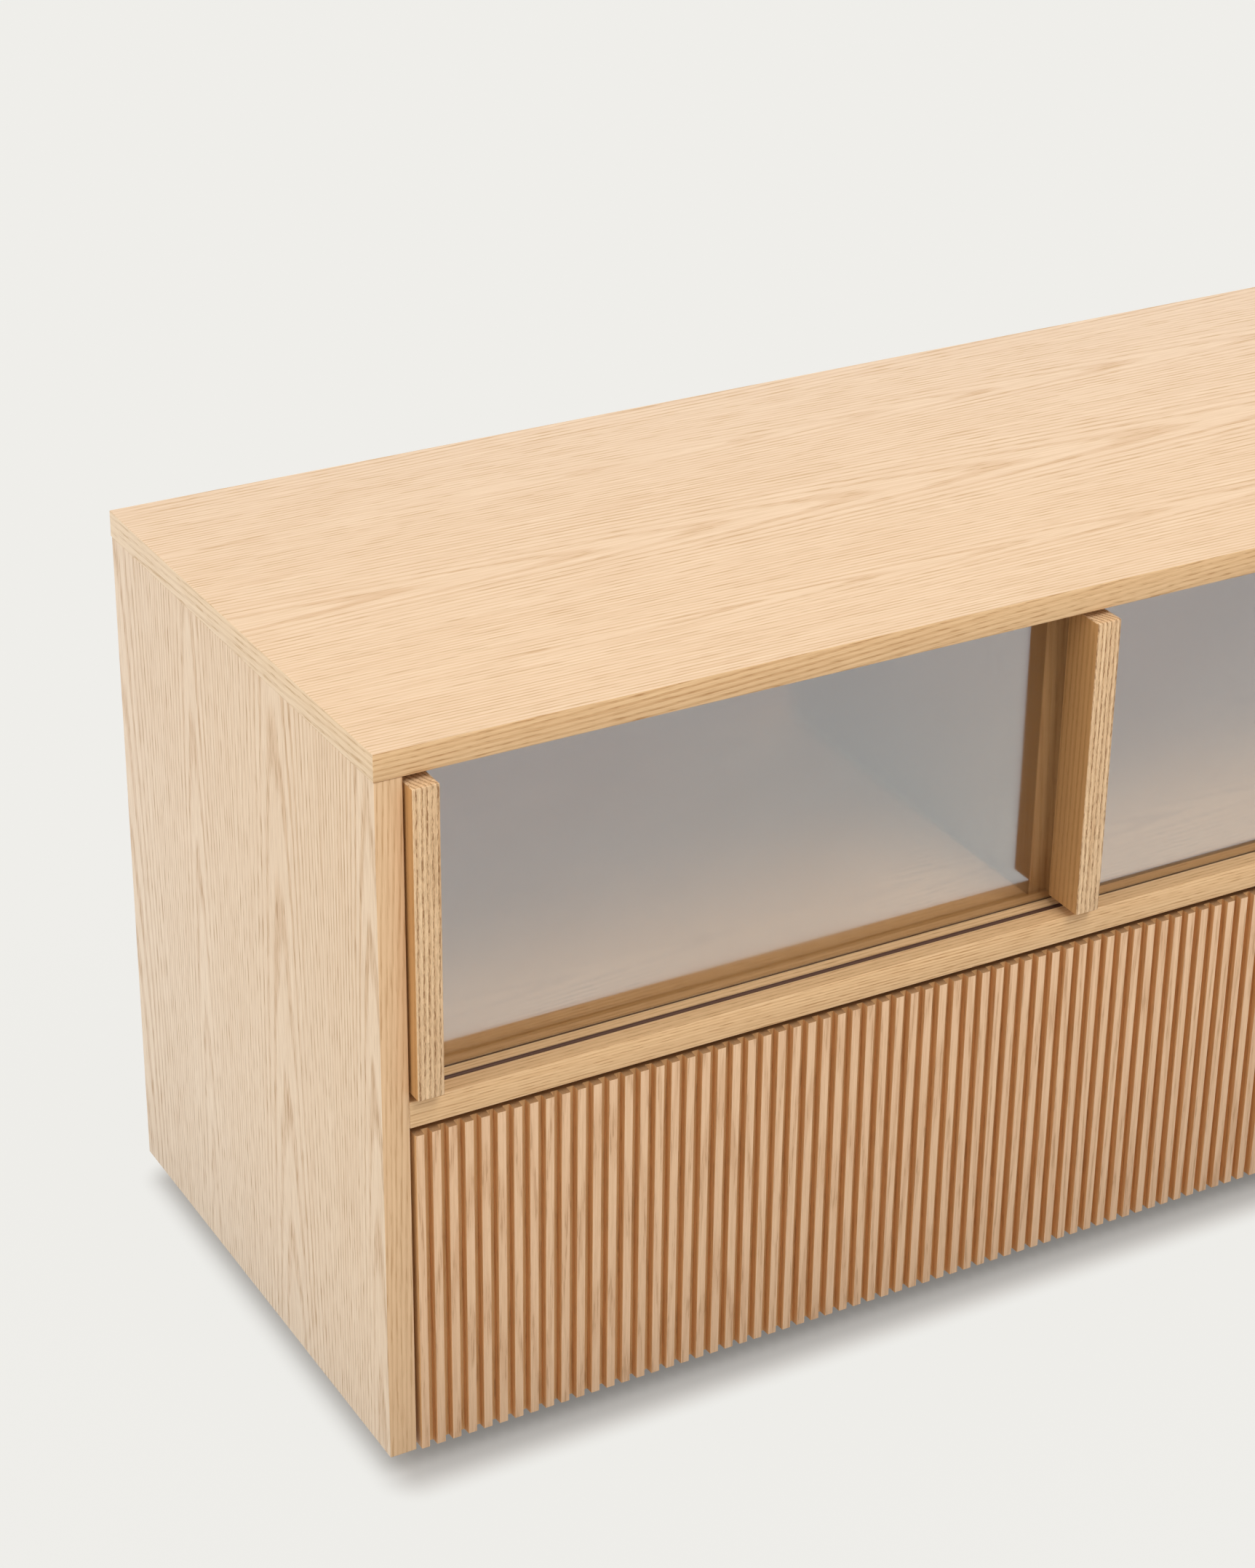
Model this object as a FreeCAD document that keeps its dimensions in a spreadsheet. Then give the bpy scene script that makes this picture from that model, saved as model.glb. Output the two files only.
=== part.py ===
import FreeCAD, Part
import os

import Sketcher

# Media cabinet: a low veneered case with four sliding glass doors above and two fluted drawers
# below.  Millimetres.  +Z is up, the front faces -Y, and the origin is on the floor under the
# middle of the cabinet's bounding box.

os.makedirs("parts", exist_ok=True)
doc = FreeCAD.newDocument("media_cabinet")

# ---------------------------------------------------------------- driving sizes

SIZES = {
    # the case
    "length": (2000, "overall length of the top panel"),
    "depth": (400, "overall depth of the top panel"),
    "body_height": (500, "lower edge of the sides to the top surface"),
    "board": (18.5, "thickness of every veneered case board"),
    "overhang": (0.5, "how far the top stands out past the sides"),
    "shelf_level": (241.5, "lower edge of the sides to the underside of the shelf"),
    "back_board": (5, "thickness of the back panels"),
    "back_inset": (12, "rear edge of the sides to the back panels"),
    "back_groove": (6, "depth of the grooves that hold the back panels"),
    "partition_setback": (39, "front edge of the sides to the front edge of a partition"),
    "partition_housing": (3, "how far a partition is let into the shelf and the top"),
    "cable_gap": (40, "gap between a partition and the back, where cables pass"),
    "cable_radius": (30, "radius of the cable cut-outs"),
    "cable_height": (75, "shelf surface to the middle of a cable cut-out"),
    "dowel_radius": (4, "radius of the dowels that join the boards"),
    "dowel_reach": (14, "how far a dowel goes into each board, end grain"),
    "dowel_bite": (12, "how far a dowel goes into the face of a board"),
    "shelf_bite": (8, "how far a dowel goes into the shelf from above or below"),
    "dowel_first": (75, "case front to the first dowel"),
    "dowel_last": (60, "rear edge of the sides to the last dowel"),
    # the feet
    "foot_height": (22, "floor to the lower edge of the sides"),
    "foot_width": (48, "width of a foot's block"),
    "foot_corner": (7, "how far a foot's corners are cut off"),
    "foot_rim": (6, "how far a foot's plate stands out round the block"),
    "foot_plate": (4, "thickness of the plate that is screwed to the case"),
    "foot_edge": (1.5, "chamfer round a foot's sole"),
    "foot_end_inset": (85, "end of the top to the middle of the end feet"),
    "foot_front_inset": (85, "case front to the middle of the front feet"),
    "foot_rear_inset": (65, "rear edge of the sides to the middle of the rear feet"),
    # the sliding glass doors
    "track_setback": (16, "case front to the middle of the front track"),
    "track_pitch": (13, "front track to rear track"),
    "track_slot": (5, "clear width of a track"),
    "track_wall": (0.8, "wall and floor of a plastic track"),
    "lower_slot": (2, "depth of the lower tracks"),
    "upper_slot": (8, "depth of the upper tracks"),
    "glass": (4, "thickness of a door pane"),
    "glass_play": (0.3, "gap under a pane in its lower track"),
    "glass_entry": (5, "how far a pane goes up into its upper track"),
    "door_gap": (1.5, "closed door to the side or divider beside it"),
    "door_overlap": (6, "how far a rear pane goes behind its neighbour's handle"),
    "handle_width": (18, "width of a post handle"),
    "handle_proud": (9, "how far a post handle stands in front of the case"),
    "handle_cheek": (5, "wood left behind the pane in a post handle"),
    "handle_slot": (10, "how deep the pane sits in a post handle"),
    "handle_end_gap": (5, "post handle to the shelf below and to the top above"),
    # the drawers
    "front_gap": (3, "drawer front to the side or divider beside it"),
    "front_reveal": (5.5, "drawer front to the shelf above it"),
    "front_proud": (1.5, "how far a drawer front stands in front of the case"),
    "slat_count": (87, "slats left standing across a drawer front"),
    "slat_width": (5.6, "width of a slat at its face"),
    "flute_depth": (6, "depth of the flutes between the slats"),
    "flute_flare": (0.4, "how much a flute narrows on each side towards its floor"),
    "finger_gap": (22, "drawer front to the bottom panel, where fingers hook behind the front"),
    "drawer_side": (12, "thickness of a drawer's sides and back"),
    "drawer_height": (150, "height of a drawer's sides"),
    "drawer_depth": (350, "length of a drawer's sides"),
    "drawer_lift": (12, "bottom panel to the lower edge of a drawer's sides"),
    "drawer_base": (5, "thickness of a drawer's bottom"),
    "drawer_base_lift": (10, "lower edge of a drawer's sides to its bottom"),
    "drawer_groove": (5, "depth of the grooves that hold a drawer's bottom"),
    # the telescopic runners
    "runner_height": (45, "height of a runner"),
    "runner_width": (12.7, "case board to drawer side"),
    "runner_metal": (1.2, "sheet thickness of a runner"),
    "runner_play": (0.4, "gap between two nested rails, where the balls run"),
    "runner_web_gap": (1, "gap between the lip of one rail and the web of the next"),
    "runner_setback": (1, "back of the drawer front to the front end of the rails"),
}

sheet = doc.addObject("Spreadsheet::Sheet", "sizes")
for row, (alias, (number, meaning)) in enumerate(SIZES.items(), start=1):
    sheet.set("A%d" % row, meaning)
    sheet.set("B%d" % row, str(number))
    sheet.setAlias("B%d" % row, alias)
doc.recompute()


class Size:
    """A length that carries both its number and the spreadsheet formula it comes from."""

    def __init__(self, number, formula):
        self.number = number
        self.formula = formula

    def join(self, other, sign, number):
        other_formula = other.formula if isinstance(other, Size) else str(other)
        return Size(number, "(%s %s %s)" % (self.formula, sign, other_formula))

    def __add__(self, other):
        return self.join(other, "+", self.number + number_of(other))

    def __sub__(self, other):
        return self.join(other, "-", self.number - number_of(other))

    def __mul__(self, other):
        return self.join(other, "*", self.number * number_of(other))

    def __truediv__(self, other):
        return self.join(other, "/", self.number / number_of(other))

    def __neg__(self):
        return Size(-self.number, "(0 - %s)" % self.formula)


def number_of(value):
    return value.number if isinstance(value, Size) else value


def named(alias):
    return Size(SIZES[alias][0], "sizes." + alias)


NONE = Size(0, "0")
EDGE_ON_FLOOR = 0.001

length, depth, board = named("length"), named("depth"), named("board")
overhang, body_height, foot_height = named("overhang"), named("body_height"), named("foot_height")

# ---------------------------------------------------------------- shared places

# Every place below is measured from these planes, so a change of size moves all that meets them.
front_y = -(depth - overhang - named("handle_proud")) / 2
case_depth = depth - overhang * 2
floor_of_case = foot_height
under_top = foot_height + body_height - board
side_height = body_height - board
side_outer = length / 2 - overhang
side_inner = side_outer - board
bay_width = side_inner - board / 2
shelf_bottom = foot_height + named("shelf_level")
shelf_top = shelf_bottom + board
back_face = front_y + case_depth - named("back_inset") - named("back_board")
inside_depth = back_face - front_y
partition_back = inside_depth - named("cable_gap")
base_top = floor_of_case + board
slot_y = {
    "front": front_y + named("track_setback"),
    "rear": front_y + named("track_setback") + named("track_pitch"),
}
front_back = front_y - named("front_proud") + board


# ---------------------------------------------------------------- building blocks


def plane_of(body, role):
    """The origin plane or axis of this body that has the given role."""
    return [f for f in body.Origin.OriginFeatures if f.Role == role][0]


def new_body(label, at):
    """An empty body placed with its local origin at the point at."""
    body = doc.addObject("PartDesign::Body", label)
    body.Label = label
    place(body, at)
    return body


def place(thing, at):
    for axis, where in zip("xyz", at):
        thing.setExpression(".Placement.Base." + axis, where.formula)


def new_sketch(body, role, lift):
    """An empty sketch on one of the body's own origin planes, raised from it by lift."""
    sketch = body.newObject("Sketcher::SketchObject", body.Label + "_sketch")
    sketch.AttachmentSupport = [(plane_of(body, role), "")]
    sketch.MapMode = "FlatFace"
    sketch.setExpression(".AttachmentOffset.Base.z", lift.formula)
    return sketch


def outline(body, role, corners, lift=NONE):
    """A closed sketch through the corners, each held to the origin by two driving distances."""
    sketch = new_sketch(body, role, lift)
    points = [FreeCAD.Vector(x.number, y.number, 0) for x, y in corners]
    for here, there in zip(points, points[1:] + points[:1]):
        sketch.addGeometry(Part.LineSegment(here, there), False)
    for edge in range(len(points)):
        before = (edge - 1) % len(points)
        sketch.addConstraint(Sketcher.Constraint("Coincident", before, 2, edge, 1))
    for edge, (x, y) in enumerate(corners):
        hold(sketch, edge, "DistanceX", x, -2)
        hold(sketch, edge, "DistanceY", y, -1)
    return sketch


def hold(sketch, edge, kind, distance, axis):
    """Holds the start of an edge at a distance from the origin, or on the axis if that is nought."""
    if distance.formula == NONE.formula:
        sketch.addConstraint(Sketcher.Constraint("PointOnObject", edge, 1, axis))
        return
    index = sketch.addConstraint(Sketcher.Constraint(kind, -1, 1, edge, 1, distance.number))
    sketch.setExpression("Constraints[%d]" % index, distance.formula)


def rectangle(body, role, low, high, lift=NONE):
    """A rectangle in a sketch, from its low corner to its high corner."""
    (x0, y0), (x1, y1) = low, high
    return outline(body, role, [(x0, y0), (x1, y0), (x1, y1), (x0, y1)], lift)


def circle(body, role, centre, radius):
    """A circle in a sketch, its centre held to the origin by two driving distances."""
    sketch = new_sketch(body, role, NONE)
    middle = FreeCAD.Vector(centre[0].number, centre[1].number, 0)
    sketch.addGeometry(Part.Circle(middle, FreeCAD.Vector(0, 0, 1), radius.number), False)
    for kind, distance in zip(("DistanceX", "DistanceY"), centre):
        index = sketch.addConstraint(Sketcher.Constraint(kind, -1, 1, 0, 3, distance.number))
        sketch.setExpression("Constraints[%d]" % index, distance.formula)
    index = sketch.addConstraint(Sketcher.Constraint("Radius", 0, radius.number))
    sketch.setExpression("Constraints[%d]" % index, radius.formula)
    return sketch


def feature(body, kind, sketch, reach, backwards=False):
    """A Pad or a Pocket of the sketch, as deep as reach."""
    made = body.newObject("PartDesign::" + kind, body.Label + "_" + kind.lower())
    made.Profile = sketch
    made.setExpression("Length", reach.formula)
    made.Reversed = backwards
    sketch.Visibility = False
    return made


def plank(label, at, size):
    """A body that is one board, from its low corner at the point at."""
    body = new_body(label, at)
    feature(body, "Pad", rectangle(body, "XY_Plane", (NONE, NONE), size[:2]), size[2])
    return body


def groove_on_top(body, low, high, deep, height):
    """Cuts a groove down into a board of this height."""
    feature(body, "Pocket", rectangle(body, "XY_Plane", low, high, height), deep)


def groove_below(body, low, high, deep):
    """Cuts a groove up into the underside of a board."""
    feature(body, "Pocket", rectangle(body, "XY_Plane", low, high), deep, backwards=True)


def groove_on_right(body, low, high, deep, width):
    """Cuts a groove into the right face of an upright board of this width."""
    feature(body, "Pocket", rectangle(body, "YZ_Plane", low, high, width), deep)


def groove_on_left(body, low, high, deep):
    """Cuts a groove into the left face of an upright board."""
    feature(body, "Pocket", rectangle(body, "YZ_Plane", low, high), deep, backwards=True)


exported = []


def keep(thing, label=None):
    """Marks a finished sub-part for export, under its label."""
    if label:
        thing.Label = label
    exported.append(thing)
    return thing


# ---------------------------------------------------------------- dowels

dowels = []


def dowel(at, along, near, far):
    """One dowel that goes near into the board before the joint and far into the one after it."""
    rod = doc.addObject("Part::Cylinder", "dowel")
    rod.setExpression("Radius", named("dowel_radius").formula)
    rod.setExpression("Height", (near + far).formula)
    if along == "x":
        lying = FreeCAD.Rotation(FreeCAD.Vector(0, 1, 0), 90)
        rod.Placement = FreeCAD.Placement(FreeCAD.Vector(), lying)
        place(rod, (at[0] - near, at[1], at[2]))
    else:
        place(rod, (at[0], at[1], at[2] - near))
    dowels.append(rod)


def dowel_row(x, z, along, near, far):
    """A dowel near the front and one near the back of a joint."""
    for y in (front_y + named("dowel_first"), front_y + case_depth - named("dowel_last")):
        dowel((x, y, z), along, near, far)


reach, bite, shelf_bite = named("dowel_reach"), named("dowel_bite"), named("shelf_bite")
side_middle = side_inner + board / 2
for x in (-side_middle, NONE, side_middle):
    dowel_row(x, under_top, "z", reach, bite)
dowel_row(NONE, shelf_top, "z", shelf_bite, reach)
dowel_row(NONE, shelf_bottom, "z", reach, shelf_bite)
dowel_row(NONE, base_top, "z", bite, reach)
for z in (floor_of_case + board / 2, shelf_bottom + board / 2):
    dowel_row(-side_inner, z, "x", bite, reach)
    dowel_row(side_inner, z, "x", reach, bite)

dowel_group = doc.addObject("Part::Compound", "case_dowels")
dowel_group.Links = dowels


def drilled(body, label):
    """The board with the dowel holes that meet it."""
    body.Label = label + "_board"
    cut = doc.addObject("Part::Cut", label)
    cut.Base = body
    cut.Tool = dowel_group
    return keep(cut, label)


# ---------------------------------------------------------------- case boards

back_slot_y = inside_depth
back_slot_end = inside_depth + named("back_board")
track_outer = named("track_slot") + named("track_wall") * 2


def partition_start(hand):
    """Left face of a partition, which stands in the middle of its bay."""
    middle = (board + bay_width) / 2
    return (-middle if hand == "left" else middle) - board / 2


def build_top_panel():
    at = (-length / 2, front_y - overhang, under_top)
    body = plank("top_panel", at, (length, depth, board))
    left = board + overhang - named("back_groove")
    groove_below(
        body,
        (left, back_slot_y + overhang),
        (length - left, back_slot_end + overhang),
        named("back_groove"),
    )
    for row in ("front", "rear"):
        middle = slot_y[row] - front_y + overhang
        for start in (board + overhang, length / 2 + board / 2):
            groove_below(
                body,
                (start, middle - track_outer / 2),
                (start + bay_width, middle + track_outer / 2),
                named("upper_slot") + named("track_wall"),
            )
    for hand in ("left", "right"):
        start = length / 2 + partition_start(hand)
        groove_below(
            body,
            (start, named("partition_setback") + overhang),
            (start + board, partition_back + overhang),
            named("partition_housing"),
        )
    drilled(body, "top_panel")


def build_side(hand):
    x = -side_outer if hand == "left" else side_inner
    body = plank(hand + "_side_panel", (x, front_y, floor_of_case), (board, case_depth, side_height))
    low, high = (back_slot_y, NONE), (back_slot_end, side_height)
    if hand == "left":
        groove_on_right(body, low, high, named("back_groove"), board)
    else:
        groove_on_left(body, low, high, named("back_groove"))
    drilled(body, hand + "_side_panel")


def build_shelf():
    at = (-side_inner, front_y, shelf_bottom)
    body = plank("middle_shelf", at, (side_inner * 2, inside_depth, board))
    for row in ("front", "rear"):
        middle = slot_y[row] - front_y
        for start in (NONE, bay_width + board):
            groove_on_top(
                body,
                (start, middle - track_outer / 2),
                (start + bay_width, middle + track_outer / 2),
                named("lower_slot") + named("track_wall"),
                board,
            )
    for hand in ("left", "right"):
        start = side_inner + partition_start(hand)
        groove_on_top(
            body,
            (start, named("partition_setback")),
            (start + board, partition_back),
            named("partition_housing"),
            board,
        )
    drilled(body, "middle_shelf")


def build_bottom():
    setback = front_back - front_y + named("finger_gap")
    at = (-side_inner, front_y + setback, floor_of_case)
    body = plank("bottom_panel", at, (side_inner * 2, case_depth - setback, board))
    low = (NONE, back_slot_y - setback)
    high = (side_inner * 2, back_slot_end - setback)
    groove_on_top(body, low, high, named("back_groove"), board)
    drilled(body, "bottom_panel")


def build_divider(label, low, high):
    body = plank(label, (-board / 2, front_y, low), (board, inside_depth, high - low))
    drilled(body, label)


def build_partition(hand):
    """A board behind the overlap of two doors, let into the shelf and the top."""
    setback = named("partition_setback")
    housing = named("partition_housing")
    at = (partition_start(hand), front_y + setback, shelf_top - housing)
    size = (board, partition_back - setback, under_top - shelf_top + housing * 2)
    keep(plank(hand + "_partition", at, size))


def build_back(hand):
    """Half of the back, from the groove in the side to the middle of the dividers."""
    width = side_inner + named("back_groove")
    low = base_top - named("back_groove")
    x = -width if hand == "left" else NONE
    tall = under_top - low + named("back_groove")
    body = plank(hand + "_back_panel", (x, back_face, low), (width, named("back_board"), tall))
    edge_of_bay = named("back_groove") if hand == "left" else board / 2
    middle_x = edge_of_bay + bay_width / 2
    middle_z = shelf_top + named("cable_height") - low
    hole = circle(body, "XZ_Plane", (middle_x, middle_z), named("cable_radius"))
    feature(body, "Pocket", hole, named("back_board"))
    keep(body)


build_top_panel()
for hand in ("left", "right"):
    build_side(hand)
build_shelf()
build_bottom()
build_divider("upper_divider", shelf_top, under_top)
build_divider("lower_divider", base_top, shelf_bottom)
for hand in ("left", "right"):
    build_partition(hand)
    build_back(hand)
keep(dowel_group)

# ---------------------------------------------------------------- feet


def cut_square(half, corner):
    """The corners of a square round the origin, with its corners cut off."""
    flat = half - corner
    return [
        (-flat, -half),
        (flat, -half),
        (half, -flat),
        (half, flat),
        (flat, half),
        (-flat, half),
        (-half, flat),
        (-half, -flat),
    ]


def build_foot(label, x, y):
    """A moulded foot: a block with a chamfered sole under the plate that is screwed to the case."""
    body = new_body(label, (x, y, NONE))
    half, corner, plate = named("foot_width") / 2, named("foot_corner"), named("foot_plate")
    block = feature(body, "Pad", outline(body, "XY_Plane", cut_square(half, corner)), foot_height - plate)
    doc.recompute()
    sole = []
    for count, edge in enumerate(block.Shape.Edges, start=1):
        if edge.BoundBox.ZMax < EDGE_ON_FLOOR:
            sole.append("Edge%d" % count)
    chamfer = body.newObject("PartDesign::Chamfer", label + "_chamfer")
    chamfer.Base = (block, sole)
    chamfer.setExpression("Size", named("foot_edge").formula)
    top = outline(body, "XY_Plane", cut_square(half + named("foot_rim"), corner), foot_height - plate)
    feature(body, "Pad", top, plate)
    keep(body)


end_x = length / 2 - named("foot_end_inset")
foot_rows = {
    "front": front_y + named("foot_front_inset"),
    "rear": front_y + case_depth - named("foot_rear_inset"),
}
for row, y in foot_rows.items():
    for column, x in (("left", -end_x), ("middle", NONE), ("right", end_x)):
        build_foot("%s_%s_foot" % (row, column), x, y)

# ---------------------------------------------------------------- tracks of the glass doors


def build_track(label, hand, y, z, slot, opens_up):
    """A plastic channel that lies in its groove and fills one bay from end to end."""
    x = -side_inner if hand == "left" else board / 2
    tall = slot + named("track_wall")
    body = plank(label, (x, y - track_outer / 2, z), (bay_width, track_outer, tall))
    low = (NONE, named("track_wall"))
    high = (bay_width, named("track_wall") + named("track_slot"))
    if opens_up:
        groove_on_top(body, low, high, slot, tall)
    else:
        groove_below(body, low, high, slot)
    keep(body)


for hand in ("left", "right"):
    for row, y in slot_y.items():
        lower, upper = named("lower_slot"), named("upper_slot")
        bed = shelf_top - lower - named("track_wall")
        build_track("%s_lower_%s_track" % (hand, row), hand, y, bed, lower, True)
        build_track("%s_upper_%s_track" % (hand, row), hand, y, under_top, upper, False)

# ---------------------------------------------------------------- sliding glass doors

door_width = (bay_width - named("door_gap") * 2 + named("door_overlap")) / 2
pane_width = door_width - named("handle_width") + named("handle_slot")
pane_low = shelf_top - named("lower_slot") + named("glass_play")
pane_high = under_top + named("glass_entry")
handle_low = shelf_top + named("handle_end_gap")
handle_high = under_top - named("handle_end_gap")

outer_left = -side_inner + named("door_gap")
inner_left = -board / 2 - named("door_gap") - door_width
inner_right = board / 2 + named("door_gap")
outer_right = side_inner - named("door_gap") - door_width


def build_door(name, left, row, handle_on_left):
    """A pane with a post handle slotted over one upright edge."""
    glass, width = named("glass"), named("handle_width")
    pane_y = slot_y[row] - glass / 2
    pane_x = left + width - named("handle_slot") if handle_on_left else left
    pane = plank(name + "_pane", (pane_x, pane_y, pane_low), (pane_width, glass, pane_high - pane_low))
    keep(pane)

    handle_y = front_y - named("handle_proud")
    handle_deep = pane_y + glass + named("handle_cheek") - handle_y
    handle_x = left if handle_on_left else left + door_width - width
    at = (handle_x, handle_y, handle_low)
    handle = plank(name + "_handle", at, (width, handle_deep, handle_high - handle_low))
    start = width - named("handle_slot") if handle_on_left else NONE
    end = width if handle_on_left else named("handle_slot")
    groove_on_top(
        handle,
        (start, pane_y - handle_y),
        (end, pane_y - handle_y + glass),
        handle_high - handle_low,
        handle_high - handle_low,
    )
    keep(handle)


build_door("left_outer", outer_left, "rear", True)
build_door("left_inner", inner_left, "front", True)
build_door("right_inner", inner_right, "front", False)
build_door("right_outer", outer_right, "rear", False)

# ---------------------------------------------------------------- drawers

front_width = bay_width - named("front_gap") * 2
front_height = named("shelf_level") - named("front_reveal")
box_width = bay_width - named("runner_width") * 2
drawer_low = base_top + named("drawer_lift")
slat_pitch = (front_width - named("slat_width")) / (named("slat_count") - 1)


def build_fluted_front(label, bay_x):
    """A solid front with straight flutes milled from its lower to its upper edge."""
    at = (bay_x + named("front_gap"), front_y - named("front_proud"), floor_of_case)
    body = plank(label, at, (front_width, board, front_height))
    flare, deep = named("flute_flare"), named("flute_depth")
    first, last = named("slat_width"), slat_pitch
    corners = [(first, NONE), (last, NONE), (last - flare, deep), (first + flare, deep)]
    flute = feature(body, "Pocket", outline(body, "XY_Plane", corners), front_height, backwards=True)
    row = body.newObject("PartDesign::LinearPattern", label + "_flutes")
    row.Originals = [flute]
    row.Direction = (plane_of(body, "X_Axis"), [""])
    row.setExpression("Length", (slat_pitch * (named("slat_count") - 2)).formula)
    row.setExpression("Occurrences", (named("slat_count") - 1).formula)
    body.Tip = row
    base = named("drawer_base")
    lift = drawer_low - floor_of_case + named("drawer_base_lift")
    inset = named("runner_width") - named("front_gap") + named("drawer_side") - named("drawer_groove")
    low, high = (inset, lift), (front_width - inset, lift + base)
    groove = rectangle(body, "XZ_Plane", low, high, -board)
    feature(body, "Pocket", groove, named("drawer_groove"), backwards=True)
    keep(body)


def build_drawer_box(name, bay_x):
    """Two grooved sides and a back, with a bottom slid in under the back."""
    thick, tall, deep = named("drawer_side"), named("drawer_height"), named("drawer_depth")
    base, groove = named("drawer_base"), named("drawer_groove")
    lift = named("drawer_base_lift")
    left_x = bay_x + named("runner_width")
    right_x = left_x + box_width - thick
    low, high = (NONE, lift), (deep, lift + base)

    left = plank(name + "_left_side", (left_x, front_back, drawer_low), (thick, deep, tall))
    groove_on_right(left, low, high, groove, thick)
    keep(left)
    right = plank(name + "_right_side", (right_x, front_back, drawer_low), (thick, deep, tall))
    groove_on_left(right, low, high, groove)
    keep(right)

    back_low = drawer_low + lift + base
    at = (left_x + thick, front_back + deep - thick, back_low)
    keep(plank(name + "_back", at, (box_width - thick * 2, thick, tall - lift - base)))

    at = (left_x + thick - groove, front_back - groove, drawer_low + lift)
    keep(plank(name + "_base", at, (box_width - (thick - groove) * 2, deep + groove, base)))


def build_runner(name, wall_x, faces_right):
    """Three nested channels: one on the case board, one on the drawer side, one between them."""
    metal, play, tall = named("runner_metal"), named("runner_play"), named("runner_height")
    wide, gap = named("runner_width"), named("runner_web_gap")
    y = front_back + named("runner_setback")
    long = named("drawer_depth") - named("runner_setback")
    middle_z = drawer_low + named("drawer_height") / 2
    nest = metal + play
    # each rail: case board to its near face and to its far face, its height, the side of its web
    rails = (
        ("outer_rail", NONE, wide - metal - gap, tall, "near"),
        ("middle_rail", metal + gap, wide - metal - gap, tall - nest * 2, "near"),
        ("inner_rail", (metal + gap) * 2, wide, tall - nest * 4, "far"),
    )
    for part, near, far, height, web in rails:
        x = wall_x + near if faces_right else wall_x - far
        body = plank(name + "_" + part, (x, y, middle_z - height / 2), (far - near, long, height))
        opens_right = (web == "near") == faces_right
        start = metal if opens_right else NONE
        end = far - near if opens_right else far - near - metal
        channel = rectangle(body, "XZ_Plane", (start, metal), (end, height - metal))
        feature(body, "Pocket", channel, long)
        keep(body)


for hand, bay_x in (("left", -side_inner), ("right", board / 2)):
    drawer = hand + "_drawer"
    build_fluted_front(drawer + "_front", bay_x)
    build_drawer_box(drawer, bay_x)
    build_runner(drawer + "_left", bay_x, True)
    build_runner(drawer + "_right", bay_x + bay_width, False)

# ---------------------------------------------------------------- export

doc.recompute()
for thing in doc.Objects:
    bad = [word for word in thing.State if word in ("Invalid", "Error")]
    if bad:
        raise RuntimeError("%s is %s" % (thing.Label, bad))
for thing in exported:
    shape = thing.Shape
    if shape.isNull() or not shape.isValid():
        raise RuntimeError("%s has no valid shape" % thing.Label)
    shape.exportStep("parts/%s.step" % thing.Label)
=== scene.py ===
"""Looks of a long oak media cabinet with sliding tinted-glass doors over two fluted drawers.

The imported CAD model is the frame: every size and place below is read from its nodes. Each wooden
board is modelled again from a primitive, so that its arrises are eased and its edges are banded,
and it stands for its CAD node. Lengths in the classes are millimetres, and scene units are metres.
"""

import logging
import math
from dataclasses import dataclass, field, replace
from enum import Enum, IntEnum, StrEnum
from typing import Callable, Sequence

import bpy
from bpy.types import Material, Mesh, Node, NodeSocket, NodeTree, Object
from mathutils import Euler, Matrix, Vector


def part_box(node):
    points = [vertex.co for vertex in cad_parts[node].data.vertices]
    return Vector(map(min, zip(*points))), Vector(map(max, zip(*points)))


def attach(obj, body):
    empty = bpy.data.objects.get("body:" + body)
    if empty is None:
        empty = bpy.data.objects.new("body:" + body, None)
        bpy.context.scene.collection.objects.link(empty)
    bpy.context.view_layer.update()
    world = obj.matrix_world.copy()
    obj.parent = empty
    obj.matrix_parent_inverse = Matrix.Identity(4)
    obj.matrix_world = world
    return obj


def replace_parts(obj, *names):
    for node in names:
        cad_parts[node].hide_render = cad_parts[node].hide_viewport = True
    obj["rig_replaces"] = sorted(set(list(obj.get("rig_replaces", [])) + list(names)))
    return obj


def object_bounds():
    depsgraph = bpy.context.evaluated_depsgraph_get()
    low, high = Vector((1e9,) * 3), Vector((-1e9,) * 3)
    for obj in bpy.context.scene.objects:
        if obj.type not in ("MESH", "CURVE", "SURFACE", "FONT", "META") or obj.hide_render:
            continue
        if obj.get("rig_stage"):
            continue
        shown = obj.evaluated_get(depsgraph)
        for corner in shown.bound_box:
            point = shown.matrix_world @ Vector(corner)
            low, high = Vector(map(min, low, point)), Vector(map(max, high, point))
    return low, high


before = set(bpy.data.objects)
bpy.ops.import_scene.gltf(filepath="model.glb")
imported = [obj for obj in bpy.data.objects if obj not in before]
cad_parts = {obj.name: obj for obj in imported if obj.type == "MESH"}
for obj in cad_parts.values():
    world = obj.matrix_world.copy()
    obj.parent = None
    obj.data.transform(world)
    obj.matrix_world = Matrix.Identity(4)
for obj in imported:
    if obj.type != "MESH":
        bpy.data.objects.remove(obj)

LOG = logging.getLogger("media_cabinet")
MM = 0.001
# Places nearer to each other than this are the same place.
TOUCH = 1e-6
# How far a cutter runs clear of what it cuts.
CLEARANCE = 2 * MM
VENEER = 0.6 * MM
TRACK_WALL = 0.8 * MM
# A face whose normal reaches this far along an axis is square to it.
SQUARELY = 0.9
# An edge this near to the plane of the slats' faces lies in it.
NEAR = 0.1 * MM
# How far one step of a finish's seed moves its pattern, in millimetres.
SEED_STEP = (37.0, 53.0, 71.0)

Pair = tuple[float, float]
Point = tuple[float, float, float]
Test = Callable[[Vector, Vector], bool]


class Axis(IntEnum):
    """One of the frame's axes: X along the cabinet, Y towards its back, Z up."""

    X = 0
    Y = 1
    Z = 2


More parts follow.
